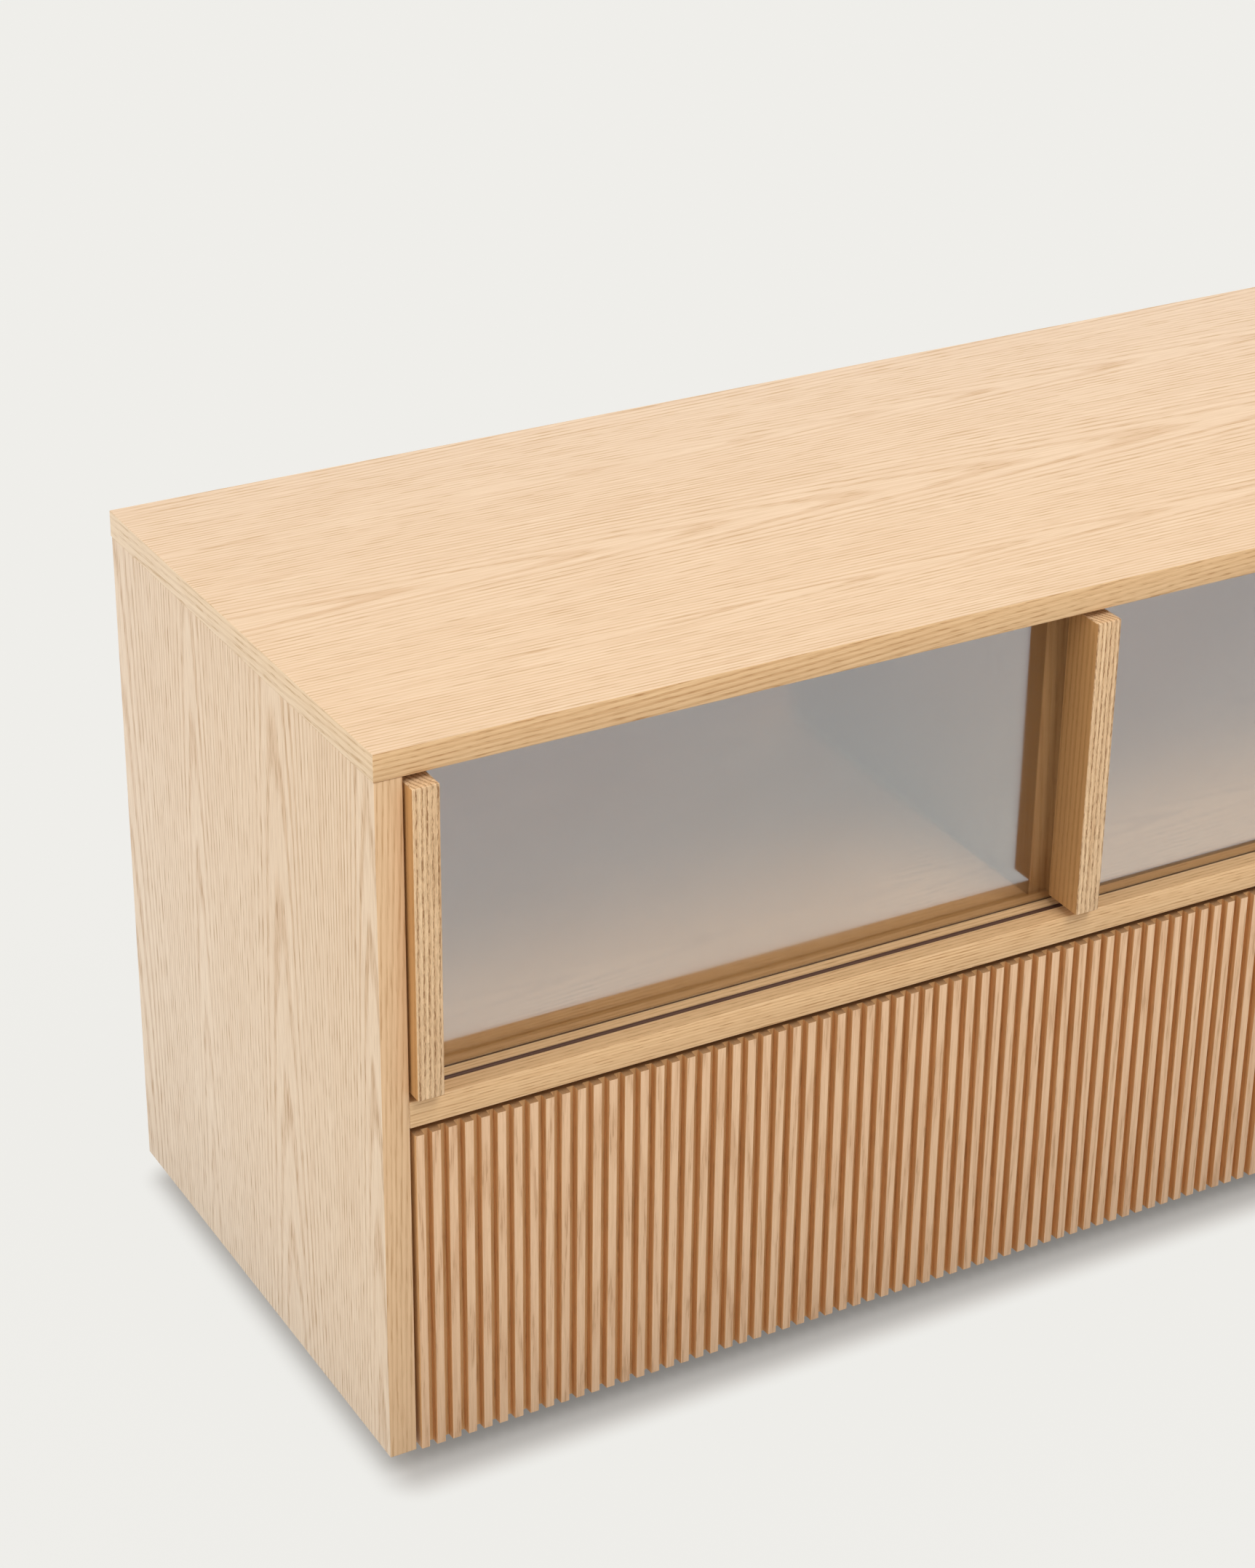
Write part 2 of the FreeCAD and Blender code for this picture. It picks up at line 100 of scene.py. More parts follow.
class Hand(StrEnum):
    """The half of the cabinet, or the side of a drawer, as seen from the front."""

    LEFT = "left"
    RIGHT = "right"


class Level(StrEnum):
    """The two heights that the panes' tracks and the dividers stand at."""

    UPPER = "upper"
    LOWER = "lower"

    @property
    def way(self) -> int:
        """1 where this level's tracks open upwards, or -1 where they open downwards."""
        return 1 if self is Level.LOWER else -1

    @property
    def tracks(self) -> list[str]:
        """The CAD nodes of this level's four tracks."""
        return [f"{hand}_{self}_{row}_track" for hand in Hand for row in ("front", "rear")]


class Opening(Enum):
    """The way that a groove opens, where its cutter runs clear of the board."""

    NONE = (0, 0, 0)
    UP = (0, 0, 1)
    DOWN = (0, 0, -1)


class Mix(IntEnum):
    """Numbers of the Mix node's inputs when it mixes colours."""

    SHARE = 0
    UNDER = 6
    OVER = 7


# ------------------------------------------------------------------ node and colour helpers


def linear(colour: str) -> tuple[float, float, float, float]:
    """Turns an sRGB hex colour into the linear colour that shaders take.

    Args:
        colour: The colour as "#RRGGBB".

    Returns:
        Red, green, blue and an alpha of 1.
    """
    channels = []
    for start in (1, 3, 5):
        value = int(colour[start : start + 2], 16) / 255
        channels.append(value / 12.92 if value <= 0.04045 else ((value + 0.055) / 1.055) ** 2.4)
    return channels[0], channels[1], channels[2], 1.0


def add_node(tree: NodeTree, kind: str, inputs: dict | None = None, **settings: object) -> Node:
    """Adds one shader node with its settings, values and links.

    Args:
        tree: The material's or the world's node tree.
        kind: The node's type without its "ShaderNode" prefix.
        inputs: For each input's name or number a value, the output socket that feeds it, or the
            node whose first working output feeds it.
        settings: Properties of the node, such as operation="MULTIPLY".

    Returns:
        The new node.
    """
    node = tree.nodes.new("ShaderNode" + kind)
    for name, value in settings.items():
        setattr(node, name, value)
    for key, value in (inputs or {}).items():
        if isinstance(value, Node):
            value = next(socket for socket in value.outputs if socket.enabled)
        if isinstance(value, NodeSocket):
            tree.links.new(value, node.inputs[key])
        else:
            node.inputs[key].default_value = value
    return node


def blank_material(name: str) -> Material:
    """Makes a material with an empty node tree.

    Args:
        name: The material's name.

    Returns:
        The new material.
    """
    material = bpy.data.materials.new(name)
    material.use_nodes = True
    material.node_tree.nodes.clear()
    return material


def place_in(tree: NodeTree, sizes: Point, start: Point = (0.0, 0.0, 0.0)) -> Node:
    """Gives the place on a piece, counted in a pattern's own sizes.

    Args:
        tree: The material's node tree.
        sizes: The pattern's sizes along X, Y and Z, in millimetres.
        start: What the count starts from.

    Returns:
        The node that gives the place.
    """
    coordinates = add_node(tree, "TexCoord")
    scale = tuple(1 / (size * MM) for size in sizes)
    return add_node(
        tree,
        "Mapping",
        {"Vector": coordinates.outputs["Object"], "Scale": scale, "Location": start},
    )


# ------------------------------------------------------------------ finishes


class Grain(Enum):
    """How a piece is cut: the axes along its grain, across it and through its thickness."""

    LENGTHWISE_FLAT = (Axis.X, Axis.Y, Axis.Z)
    LENGTHWISE_EDGE = (Axis.X, Axis.Z, Axis.Y)
    UPRIGHT_SIDE = (Axis.Z, Axis.Y, Axis.X)
    UPRIGHT_FRONT = (Axis.Z, Axis.X, Axis.Y)
    END_EDGE = (Axis.Y, Axis.Z, Axis.X)


@dataclass(frozen=True)
class Finish:
    """What every finish has: the name of its material, and a surface for it."""

    name: str

    def surface(self, tree: NodeTree) -> Node:
        """Adds the nodes of the surface, and gives the last one."""
        raise NotImplementedError

    def make(self) -> Material:
        """Builds the material with its surface.

        Returns:
            The finished material.
        """
        material = blank_material(self.name)
        tree = material.node_tree
        add_node(tree, "OutputMaterial", {"Surface": self.surface(tree)})
        return material


@dataclass(frozen=True)
class Oak(Finish):
    """Matt lacquered oak. Growth rings of a real log are cut by the piece's own plane, which
    gives arches and long stripes, and open pores lie in the soft wood of each ring."""

    grain: Grain
    wood: str
    ring: str
    pore: str
    leaf: float = 118.0
    ring_spacing: float = 3.4
    ring_strength: float = 0.5
    core_depth: float = 30.0
    core_slope: float = 0.03
    wander: float = 3.0
    ripple: float = 3.0
    pore_length: float = 14.0
    pore_width: float = 0.9
    pore_strength: float = 0.55
    pore_share: float = 0.5
    pore_edge: float = 0.14
    pore_depth: float = 0.12
    pore_dullness: float = 0.2
    fibre_length: float = 90.0
    fibre_width: float = 1.5
    fibre_relief: float = 0.25
    bend_size: Pair = (420.0, 90.0)
    ripple_size: Pair = (80.0, 6.0)
    patch_size: Pair = (260.0, 34.0)
    soft_from: float = -0.2
    hard_wood_pores: float = 0.3
    streak_range: Pair = (0.35, 0.75)
    wall_range: Pair = (0.75, 0.98)
    bump: float = 0.35
    tone: float = 0.35
    roughness: float = 0.5
    sheen: float = 0.35
    # Colour multiplied onto the faces that look left or right: painted shade and bounce light. None
    # paints none.
    wall: str | None = None
    seed: float = 0.0

    def place(self, tree: NodeTree) -> list[NodeSocket]:
        """Gives the place on the piece in millimetres along, across and through the grain.

        Args:
            tree: The material's node tree.

        Returns:
            The three coordinates' sockets.
        """
        start = tuple(self.seed * step for step in SEED_STEP)
        parts = add_node(tree, "SeparateXYZ", {0: place_in(tree, (1.0, 1.0, 1.0), start)})
        return [parts.outputs[axis] for axis in self.grain.value]

    def noise(self, tree: NodeTree, place: Sequence[NodeSocket], size: Pair, detail: float) -> Node:
        """A noise of spots that are stretched along the grain.

        Args:
            tree: The material's node tree.
            place: The place in millimetres, from place().
            size: A spot's length along the grain and its width across it, in millimetres.
            detail: How many finer layers the noise has.

        Returns:
            The noise, from 0 to 1 and about 0.5 in the middle.
        """
        joined = add_node(tree, "CombineXYZ", dict(enumerate(place)))
        length, width = size
        scale = (1 / length, 1 / width, 1 / width)
        stretched = add_node(tree, "Mapping", {"Vector": joined, "Scale": scale})
        return add_node(
            tree,
            "TexNoise",
            {"Vector": stretched, "Scale": 1.0, "Detail": detail, "Roughness": 0.55},
        )

    def rings(self, tree: NodeTree, place: Sequence[NodeSocket]) -> Node:
        """The soft wood of the growth rings, where this piece's plane cuts the log.

        Args:
            tree: The material's node tree.
            place: The place in millimetres, from place().

        Returns:
            A node that is 1 in a ring's soft wood and 0 in its hard wood.
        """
        along, across, through = place
        leaves = add_node(tree, "Math", {0: across, 1: self.leaf}, operation="DIVIDE")
        number = add_node(tree, "Math", {0: leaves}, operation="ROUND")
        chance = add_node(tree, "TexWhiteNoise", {"W": number}, noise_dimensions="1D")
        middle = add_node(tree, "Math", {0: number, 1: self.leaf}, operation="MULTIPLY")
        local = add_node(tree, "Math", {0: across, 1: middle}, operation="SUBTRACT")

        bend = self.noise(tree, place, self.bend_size, 1.0)
        bend = add_node(
            tree, "Math", {0: bend, 1: self.wander * 2, 2: -self.wander}, operation="MULTIPLY_ADD"
        )
        sideways = add_node(tree, "Math", {0: local, 1: bend}, operation="ADD")
        sunk = add_node(tree, "Math", {0: through, 1: self.core_depth}, operation="PINGPONG")
        offset = add_node(
            tree, "Math", {0: chance, 1: self.core_depth * 2, 2: sunk}, operation="MULTIPLY_ADD"
        )
        deep = add_node(
            tree, "Math", {0: along, 1: self.core_slope, 2: offset}, operation="MULTIPLY_ADD"
        )
        deep = add_node(tree, "Math", {0: deep, 1: bend}, operation="SUBTRACT")
        spot = add_node(tree, "CombineXYZ", {0: sideways, 1: deep})
        radius = add_node(tree, "VectorMath", {0: spot}, operation="LENGTH")
        turns = 2 * math.pi / self.ring_spacing
        turn = add_node(tree, "Math", {0: radius, 1: turns}, operation="MULTIPLY")
        ripple = self.noise(tree, place, self.ripple_size, 2.0)
        turn = add_node(
            tree, "Math", {0: ripple, 1: self.ripple, 2: turn}, operation="MULTIPLY_ADD"
        )
        wave = add_node(tree, "Math", {0: turn}, operation="COSINE")
        return add_node(
            tree,
            "MapRange",
            {0: wave, "From Min": self.soft_from, "From Max": 1.0},
            interpolation_type="SMOOTHSTEP",
        )

    def pores(self, tree: NodeTree, place: Sequence[NodeSocket], soft: Node) -> Node:
        """The open pores: fine dashes along the grain, most of them in the soft wood. Real ones
        are 0.3 mm wide, and these are drawn wider, because that is too fine to show.

        Args:
            tree: The material's node tree.
            place: The place in millimetres, from place().
            soft: Where the soft wood is, from rings().

        Returns:
            A node that is 1 in a pore.
        """
        dashes = self.noise(tree, place, (self.pore_length, self.pore_width), 2.0)
        start = 1 - self.pore_share
        open_wood = add_node(
            tree,
            "MapRange",
            {0: dashes, "From Min": start, "From Max": start + self.pore_edge},
            interpolation_type="SMOOTHSTEP",
        )
        least = self.hard_wood_pores
        share = add_node(tree, "Math", {0: soft, 1: 1 - least, 2: least}, operation="MULTIPLY_ADD")
        return add_node(tree, "Math", {0: open_wood, 1: share}, operation="MULTIPLY")

    def blend(
        self,
        tree: NodeTree,
        share: Node,
        strength: float,
        first: str | Node,
        second: str,
    ) -> Node:
        """Lays a second colour over a first one.

        Args:
            tree: The material's node tree.
            share: Where the second colour lies, from 0 to 1.
            strength: How much of it shows there.
            first: The first colour, as hex or as a node.
            second: The second colour, as hex.

        Returns:
            The node with the mixed colour.
        """
        amount = add_node(tree, "Math", {0: share, 1: strength}, operation="MULTIPLY")
        under = linear(first) if isinstance(first, str) else first
        return add_node(
            tree,
            "Mix",
            {Mix.SHARE: amount, Mix.UNDER: under, Mix.OVER: linear(second)},
            data_type="RGBA",
        )

    def shade_walls(self, tree: NodeTree, colour: Node) -> Node:
        """Paints shade on faces that look to the left or right: a darker, warmer tone that stands
        in for the shade and the warm light bounced between the flutes' walls.

        Args:
            tree: The material's node tree.
            colour: The wood's colour.

        Returns:
            The colour with painted shade on its walls.
        """
        geometry = add_node(tree, "TexCoord")
        sides = add_node(tree, "SeparateXYZ", {0: geometry.outputs["Normal"]})
        turned = add_node(tree, "Math", {0: sides}, operation="ABSOLUTE")
        start, end = self.wall_range
        wall = add_node(tree, "MapRange", {0: turned, "From Min": start, "From Max": end})
        return add_node(
            tree,
            "Mix",
            {Mix.SHARE: wall, Mix.UNDER: colour, Mix.OVER: linear(self.wall)},
            data_type="RGBA",
            blend_type="MULTIPLY",
        )

    def surface(self, tree: NodeTree) -> Node:
        """Colours the wood by its rings, streaks and pores, and gives it their relief.

        Args:
            tree: The material's node tree.

        Returns:
            The shader of the finished surface.
        """
        place = self.place(tree)
        soft = self.rings(tree, place)
        pore = self.pores(tree, place, soft)
        patch = self.noise(tree, place, self.patch_size, 2.0)
        fibre = self.noise(tree, place, (self.fibre_length, self.fibre_width), 3.0)

        faded = add_node(tree, "Math", {0: soft, 1: patch}, operation="MULTIPLY")
        colour = self.blend(tree, faded, self.ring_strength * 2, self.wood, self.ring)
        start, end = self.streak_range
        streak = add_node(tree, "MapRange", {0: fibre, "From Min": start, "From Max": end})
        colour = self.blend(tree, streak, self.tone, colour, self.ring)
        colour = self.blend(tree, pore, self.pore_strength, colour, self.pore)
        # Painted shade on the faces that look left or right, for finishes that have it.
        if self.wall is not None:
            colour = self.shade_walls(tree, colour)

        relief = add_node(
            tree, "Math", {0: fibre, 1: self.fibre_relief, 2: 1.0}, operation="MULTIPLY_ADD"
        )
        relief = add_node(tree, "Math", {0: relief, 1: pore}, operation="SUBTRACT")
        depth = self.pore_depth * MM
        bump = add_node(tree, "Bump", {"Strength": self.bump, "Distance": depth, "Height": relief})
        dull = add_node(
            tree,
            "Math",
            {0: pore, 1: self.pore_dullness, 2: self.roughness},
            operation="MULTIPLY_ADD",
        )
        return add_node(
            tree,
            "BsdfPrincipled",
            {
                "Base Color": colour,
                "Roughness": dull,
                "Specular IOR Level": self.sheen,
                "Normal": bump,
            },
        )


@dataclass(frozen=True)
class Plain(Finish):
    """A finish whose colour varies only a little: moulded or foiled plastic, beech or steel."""

    colour: str
    stain: str
    grain_size: Point
    variation: float
    roughness: float
    unevenness: float = 0.16
    metallic: float = 0.0
    relief: float = 0.02
    bump: float = 0.3

    def surface(self, tree: NodeTree) -> Node:
        """Varies the colour and the gloss with one grit, and gives it its relief.

        Args:
            tree: The material's node tree.

        Returns:
            The shader of the finished surface.
        """
        place = place_in(tree, self.grain_size)
        grit = add_node(tree, "TexNoise", {"Vector": place, "Scale": 1.0, "Detail": 3.0})
        share = add_node(tree, "Math", {0: grit, 1: self.variation}, operation="MULTIPLY")
        colour = add_node(
            tree,
            "Mix",
            {Mix.SHARE: share, Mix.UNDER: linear(self.colour), Mix.OVER: linear(self.stain)},
            data_type="RGBA",
        )
        smoothest = self.roughness - self.unevenness / 2
        dull = add_node(
            tree, "Math", {0: grit, 1: self.unevenness, 2: smoothest}, operation="MULTIPLY_ADD"
        )
        height = self.relief * MM
        bump = add_node(tree, "Bump", {"Strength": self.bump, "Distance": height, "Height": grit})
        return add_node(
            tree,
            "BsdfPrincipled",
            {"Base Color": colour, "Roughness": dull, "Metallic": self.metallic, "Normal": bump},
        )


@dataclass(frozen=True)
class TintedGlass(Finish):
    """Float glass tinted through and through. Both of its faces mirror the room a little, and the
    inside of the case shows through it, darker and warmer. Light for the inside passes it as it
    would a clear pane, less what each face mirrors."""

    tint: str
    ior: float
    smear_size: Point
    least_haze: float
    most_haze: float
    smear_range: Pair = (0.35, 0.65)

    def surface(self, tree: NodeTree) -> Node:
        """Mirrors, tints and lets light through.

        Args:
            tree: The material's node tree.

        Returns:
            The shader of the finished surface.
        """
        place = place_in(tree, self.smear_size)
        smear = add_node(tree, "TexNoise", {"Vector": place, "Scale": 1.0, "Detail": 4.0})
        start, end = self.smear_range
        haze = add_node(
            tree,
            "MapRange",
            {
                0: smear,
                "From Min": start,
                "From Max": end,
                "To Min": self.least_haze,
                "To Max": self.most_haze,
            },
        )
        glass = add_node(
            tree,
            "BsdfPrincipled",
            {
                "Base Color": linear(self.tint),
                "Roughness": haze,
                "IOR": self.ior,
                "Transmission Weight": 1.0,
            },
        )
        facing = add_node(tree, "LayerWeight", {"Blend": 0.5})
        steep = add_node(tree, "Math", {0: facing.outputs["Facing"], 1: 5.0}, operation="POWER")
        head_on = ((self.ior - 1) / (self.ior + 1)) ** 2
        bounced = add_node(
            tree, "Math", {0: steep, 1: 1 - head_on, 2: head_on}, operation="MULTIPLY_ADD"
        )
        passed = add_node(
            tree,
            "Mix",
            {Mix.SHARE: bounced, Mix.UNDER: linear("#FFFFFF"), Mix.OVER: linear("#000000")},
            data_type="RGBA",
        )
        clear = add_node(tree, "BsdfTransparent", {"Color": passed})
        path = add_node(tree, "LightPath")
        lit = add_node(
            tree,
            "Math",
            {0: path.outputs["Is Shadow Ray"], 1: path.outputs["Is Diffuse Ray"]},
            operation="MAXIMUM",
        )
        return add_node(tree, "MixShader", {0: lit, 1: glass, 2: clear})


# Crown-cut oak veneer, brushed and matt lacquered: pale, with faint arches.
TOP_FACE = Oak(
    "oak_veneer_crown_cut_matt",
    Grain.LENGTHWISE_FLAT,
    wood="#E4C6A4",
    ring="#CDA67D",
    pore="#AE8658",
    pore_length=26.0,
    pore_width=1.3,
    pore_strength=0.42,
    fibre_width=1.8,
    tone=0.55,
)
# The same veneer upright on the sides: paler, with longer and clearer pores.
SIDE_FACE = Oak(
    "oak_veneer_crown_cut_upright",
    Grain.UPRIGHT_SIDE,
    wood="#E7CEB0",
    ring="#D1AF8A",
    pore="#A17A53",
    leaf=132.0,
    ring_strength=0.62,
    pore_length=24.0,
    pore_width=0.8,
    pore_strength=0.68,
    tone=0.5,
    seed=1.0,
)
# The same veneer on shelf, dividers and insides, a little warmer.
INNER_FACE = Oak(
    "oak_veneer_crown_cut_inner",
    Grain.LENGTHWISE_FLAT,
    wood="#E6BF8F",
    ring="#D0A371",
    pore="#AB7D4A",
    seed=2.0,
)
# Rift-cut veneer of the same oak on the partitions: even and calm, and clearly browner than the
# rest as painted shade for the shade that lies on them inside the case, behind the panes.
CALM_SHADED_FACE = Oak(
    "oak_veneer_rift_cut_calm_painted_shade",
    Grain.UPRIGHT_SIDE,
    wood="#A3815A",
    ring="#98754C",
    pore="#8A673F",
    leaf=300.0,
    ring_spacing=5.0,
    ring_strength=0.25,
    pore_strength=0.2,
    tone=0.3,
    seed=8.0,
)
# Edge banding, quarter-cut along the board: straight fine stripes, warmer tone.
LENGTHWISE_BAND = Oak(
    "oak_edge_band_lengthwise",
    Grain.LENGTHWISE_EDGE,
    wood="#E5BF90",
    ring="#CB9E6D",
    pore="#A3733F",
    leaf=400.0,
    ring_spacing=2.0,
    ring_strength=0.6,
    core_depth=60.0,
    pore_length=15.0,
    pore_width=0.75,
    pore_strength=0.6,
    tone=0.6,
    seed=3.0,
)
UPRIGHT_BAND = Oak(
    "oak_edge_band_upright",
    Grain.UPRIGHT_FRONT,
    wood="#E2BD93",
    ring="#CCA276",
    pore="#AC7F4E",
    leaf=400.0,
    ring_spacing=2.6,
    core_depth=60.0,
    pore_length=22.0,
    pore_strength=0.5,
    seed=4.0,
)
END_BAND = replace(
    UPRIGHT_BAND,
    name="oak_edge_band_across_the_end",
    grain=Grain.END_EDGE,
    wood="#E8CCA8",
    ring="#D3B28A",
    pore="#B08A60",
    ring_spacing=2.2,
    pore_length=14.0,
    seed=5.0,
)
# Solid open-pored oak, planed and oiled under the lacquer: short dark pores.
POST = Oak(
    "solid_oak_open_pored",
    Grain.UPRIGHT_FRONT,
    wood="#EFCDA2",
    ring="#C09365",
    pore="#855A31",
    leaf=600.0,
    ring_spacing=3.2,
    core_depth=70.0,
    core_slope=0.01,
    pore_length=4.5,
    pore_width=0.5,
    pore_strength=0.85,
    pore_share=0.55,
    tone=0.6,
    seed=6.0,
)
# The posts' faces that look left and right: a browner copy of the posts' oak, smooth, with few
# pores.
POST_SIDE = replace(
    POST,
    name="solid_oak_planed_side",
    grain=Grain.UPRIGHT_SIDE,
    wood="#CB9961",
    ring="#B2804A",
    pore="#9B6A39",
    ring_spacing=4.0,
    pore_length=7.0,
    pore_strength=0.4,
    pore_share=0.5,
    tone=0.4,
)
# Solid oak with milled flutes. Its faces that look left or right, the flutes' walls, are painted
# darker and warmer as painted shade and bounce light.
FLUTED = Oak(
    "solid_oak_milled_flutes",
    Grain.UPRIGHT_FRONT,
    wood="#E3BD97",
    ring="#CCA078",
    pore="#9C7149",
    leaf=84.0,
    pore_length=20.0,
    pore_strength=0.45,
    tone=0.5,
    wall="#FFF0D0",
    seed=7.0,
)
# The flutes' floors, painted browner than the slats' faces: painted shade for the shade that lies
# in the flutes.
FLUTE_FLOOR_SHADE = replace(
    FLUTED,
    name="solid_oak_milled_flute_floor",
    wood="#D6AC78",
    ring="#C49662",
    pore="#8F6438",
    wall=None,
)
# The fluted front's sawn ends: darker as end grain that drinks the lacquer, and darker still as
# painted shade for the shadow in the gap over the front, under the shelf.
END_GRAIN_SHADE = Plain(
    "solid_oak_end_grain",
    "#AF865C",
    "#825F3D",
    grain_size=(0.9, 0.9, 0.9),
    variation=0.8,
    roughness=0.6,
)
# Body-tinted float glass: it mirrors the room and dims what is behind it. Its index is set well
# above the 1.52 of real float glass, so that the panes mirror the room strongly enough.
GLASS = TintedGlass(
    "float_glass_bronze_tinted",
    tint="#EAD8BA",
    ior=2.05,
    smear_size=(160.0, 160.0, 90.0),
    least_haze=0.05,
    most_haze=0.11,
)
# Extruded brown plastic: an even, slightly silky surface drawn along its length.
TRACK = Plain(
    "brown_pvc_extruded",
    "#624230",
    "#4E3225",
    grain_size=(60.0, 1.0, 1.0),
    variation=0.6,
    roughness=0.45,
)
# Foil-faced board of the drawer boxes: pale, with a faint printed fibre.
DRAWER_FOIL = Plain(
    "melamine_foil_pale",
    "#DCCDB2",
    "#CDBB9B",
    grain_size=(40.0, 1.4, 1.4),
    variation=0.7,
    roughness=0.5,
)
# Zinc-plated steel, roll-formed: fine lines along the rolling direction.
ZINC = Plain(
    "zinc_plated_steel_rolled",
    "#CFCBC5",
    "#B1ADA7",
    grain_size=(0.6, 30.0, 0.6),
    variation=0.6,
    roughness=0.32,
    metallic=1.0,
    relief=0.01,
)
# Injection-moulded black plastic with a fine spark-eroded grain.
BLACK_PLASTIC = Plain(
    "black_polypropylene_moulded",
    "#1D1C1B",
    "#2B2A28",
    grain_size=(0.9, 0.9, 0.9),
    variation=0.8,
    roughness=0.6,
)
# Turned beech: pale pink-brown with small flecks.
BEECH = Plain(
    "beech_turned",
    "#D0A67A",
    "#B88958",
    grain_size=(1.2, 1.2, 8.0),
    variation=0.6,
    roughness=0.6,
)


@dataclass(frozen=True)
class Finishes:
    """Every material of the cabinet, made once and shared by its pieces."""

    top_face: Material = field(default_factory=TOP_FACE.make)
    side_face: Material = field(default_factory=SIDE_FACE.make)
    inner_face: Material = field(default_factory=INNER_FACE.make)
    calm_face: Material = field(default_factory=CALM_SHADED_FACE.make)
    lengthwise_band: Material = field(default_factory=LENGTHWISE_BAND.make)
    upright_band: Material = field(default_factory=UPRIGHT_BAND.make)
    end_band: Material = field(default_factory=END_BAND.make)
    post: Material = field(default_factory=POST.make)
    post_side: Material = field(default_factory=POST_SIDE.make)
    fluted: Material = field(default_factory=FLUTED.make)
    flute_floor: Material = field(default_factory=FLUTE_FLOOR_SHADE.make)
    end_grain: Material = field(default_factory=END_GRAIN_SHADE.make)
    glass: Material = field(default_factory=GLASS.make)
    track: Material = field(default_factory=TRACK.make)
    drawer_foil: Material = field(default_factory=DRAWER_FOIL.make)
    zinc: Material = field(default_factory=ZINC.make)
    foot: Material = field(default_factory=BLACK_PLASTIC.make)
    beech: Material = field(default_factory=BEECH.make)


# ------------------------------------------------------------------ modelling by hand


def deselect() -> None:
    """Leaves edit mode and deselects everything."""
    if bpy.context.object is not None and bpy.context.object.mode != "OBJECT":
        bpy.ops.object.mode_set(mode="OBJECT")
    bpy.ops.object.select_all(action="DESELECT")


def pick(piece: Object) -> None:
    """Selects one object alone and makes it active.

    Args:
        piece: The object to select.
    """
    deselect()
    piece.select_set(True)
    bpy.context.view_layer.objects.active = piece


def add_block(name: str, low: Sequence[float], high: Sequence[float]) -> Object:
    """Adds a cube at its size and place, and puts its place into its mesh.

    Args:
        name: The new object's name.
        low: Its lowest corner, in metres.
        high: Its highest corner, in metres.

    Returns:
        The block.
    """
    deselect()
    middle = [(a + b) / 2 for a, b in zip(low, high)]
    bpy.ops.mesh.primitive_cube_add(size=1, location=middle)
    block = bpy.context.object
    block.name = name
    block.scale = [b - a for a, b in zip(low, high)]
    bpy.ops.object.transform_apply(location=True, rotation=True, scale=True)
    return block


def add_rod(
    name: str, start: Sequence[float], axis: Axis, radius: float, length: float, sides: int
) -> Object:
    """Adds a cylinder along an axis, and puts its place into its mesh.

    Args:
        name: The new object's name.
        start: The middle of its lower end, in metres.
        axis: The axis that it runs along.
        radius: Its radius in metres.
        length: Its length in metres.
        sides: How many flat sides it has.

    Returns:
        The rod.
    """
    deselect()
    middle = Vector(start)
    middle[axis] += length / 2
    quarter = math.pi / 2
    turn = {Axis.X: (0, quarter, 0), Axis.Y: (quarter, 0, 0), Axis.Z: (0, 0, 0)}[axis]
    bpy.ops.mesh.primitive_cylinder_add(
        vertices=sides, radius=radius, depth=length, location=middle, rotation=turn
    )
    rod = bpy.context.object
    rod.name = name
    bpy.ops.object.transform_apply(location=True, rotation=True, scale=True)
    return rod


def pick_bare(piece: Object) -> Mesh:
    """Picks a piece with nothing selected in its mesh.

    Args:
        piece: The object to pick.

    Returns:
        The piece's mesh.
    """
    pick(piece)
    mesh = piece.data
    for part in (*mesh.vertices, *mesh.edges, *mesh.polygons):
        part.select = False
    return mesh


def edit_edges(piece: Object, chosen: Test) -> None:
    """Enters edit mode with only the chosen edges selected.

    Args:
        piece: The object to edit.
        chosen: Says of an edge's two ends whether it is selected.
    """
    mesh = pick_bare(piece)
    for edge in mesh.edges:
        start, end = (mesh.vertices[index].co for index in edge.vertices)
        edge.select = chosen(start, end)
    bpy.context.tool_settings.mesh_select_mode = (False, True, False)
    bpy.ops.object.mode_set(mode="EDIT")


def edit_faces(piece: Object, chosen: Test) -> None:
    """Enters edit mode with only the chosen faces selected.

    Args:
        piece: The object to edit.
        chosen: Says of a face's middle and normal whether it is selected.
    """
    for face in pick_bare(piece).polygons:
        face.select = chosen(face.center, face.normal)
    bpy.context.tool_settings.mesh_select_mode = (False, False, True)
    bpy.ops.object.mode_set(mode="EDIT")


def ease(piece: Object, width: float, segments: int, chosen: Test) -> None:
    """Rounds the chosen edges of a piece, as sandpaper does.

    Args:
        piece: The object to round.
        width: The rounding's width in metres.
        segments: How many flats make the rounding.
        chosen: Says of an edge's two ends whether it is rounded.
    """
    edit_edges(piece, chosen)
    bpy.ops.mesh.bevel(offset=width, segments=segments, affect="EDGES", clamp_overlap=True)
    bpy.ops.object.mode_set(mode="OBJECT")


def apply_modifiers(piece: Object) -> None:
    """Applies all modifiers of a piece, in order.

    Args:
        piece: The object that has them.
    """
    pick(piece)
    for modifier in list(piece.modifiers):
        bpy.ops.object.modifier_apply(modifier=modifier.name)


def combine(piece: Object, other: Object, operation: str = "DIFFERENCE") -> None:
    """Cuts another object out of a piece, or joins it on, and removes that object.

    Args:
        piece: The object that is changed.
        other: The shape of the cut, or what is joined on.
        operation: "DIFFERENCE" to cut or "UNION" to join.
    """
    boolean = piece.modifiers.new("combine", "BOOLEAN")
    boolean.operation = operation
    boolean.solver = "EXACT"
    boolean.object = other
    apply_modifiers(piece)
    mesh = other.data
    bpy.data.objects.remove(other)
    bpy.data.meshes.remove(mesh)


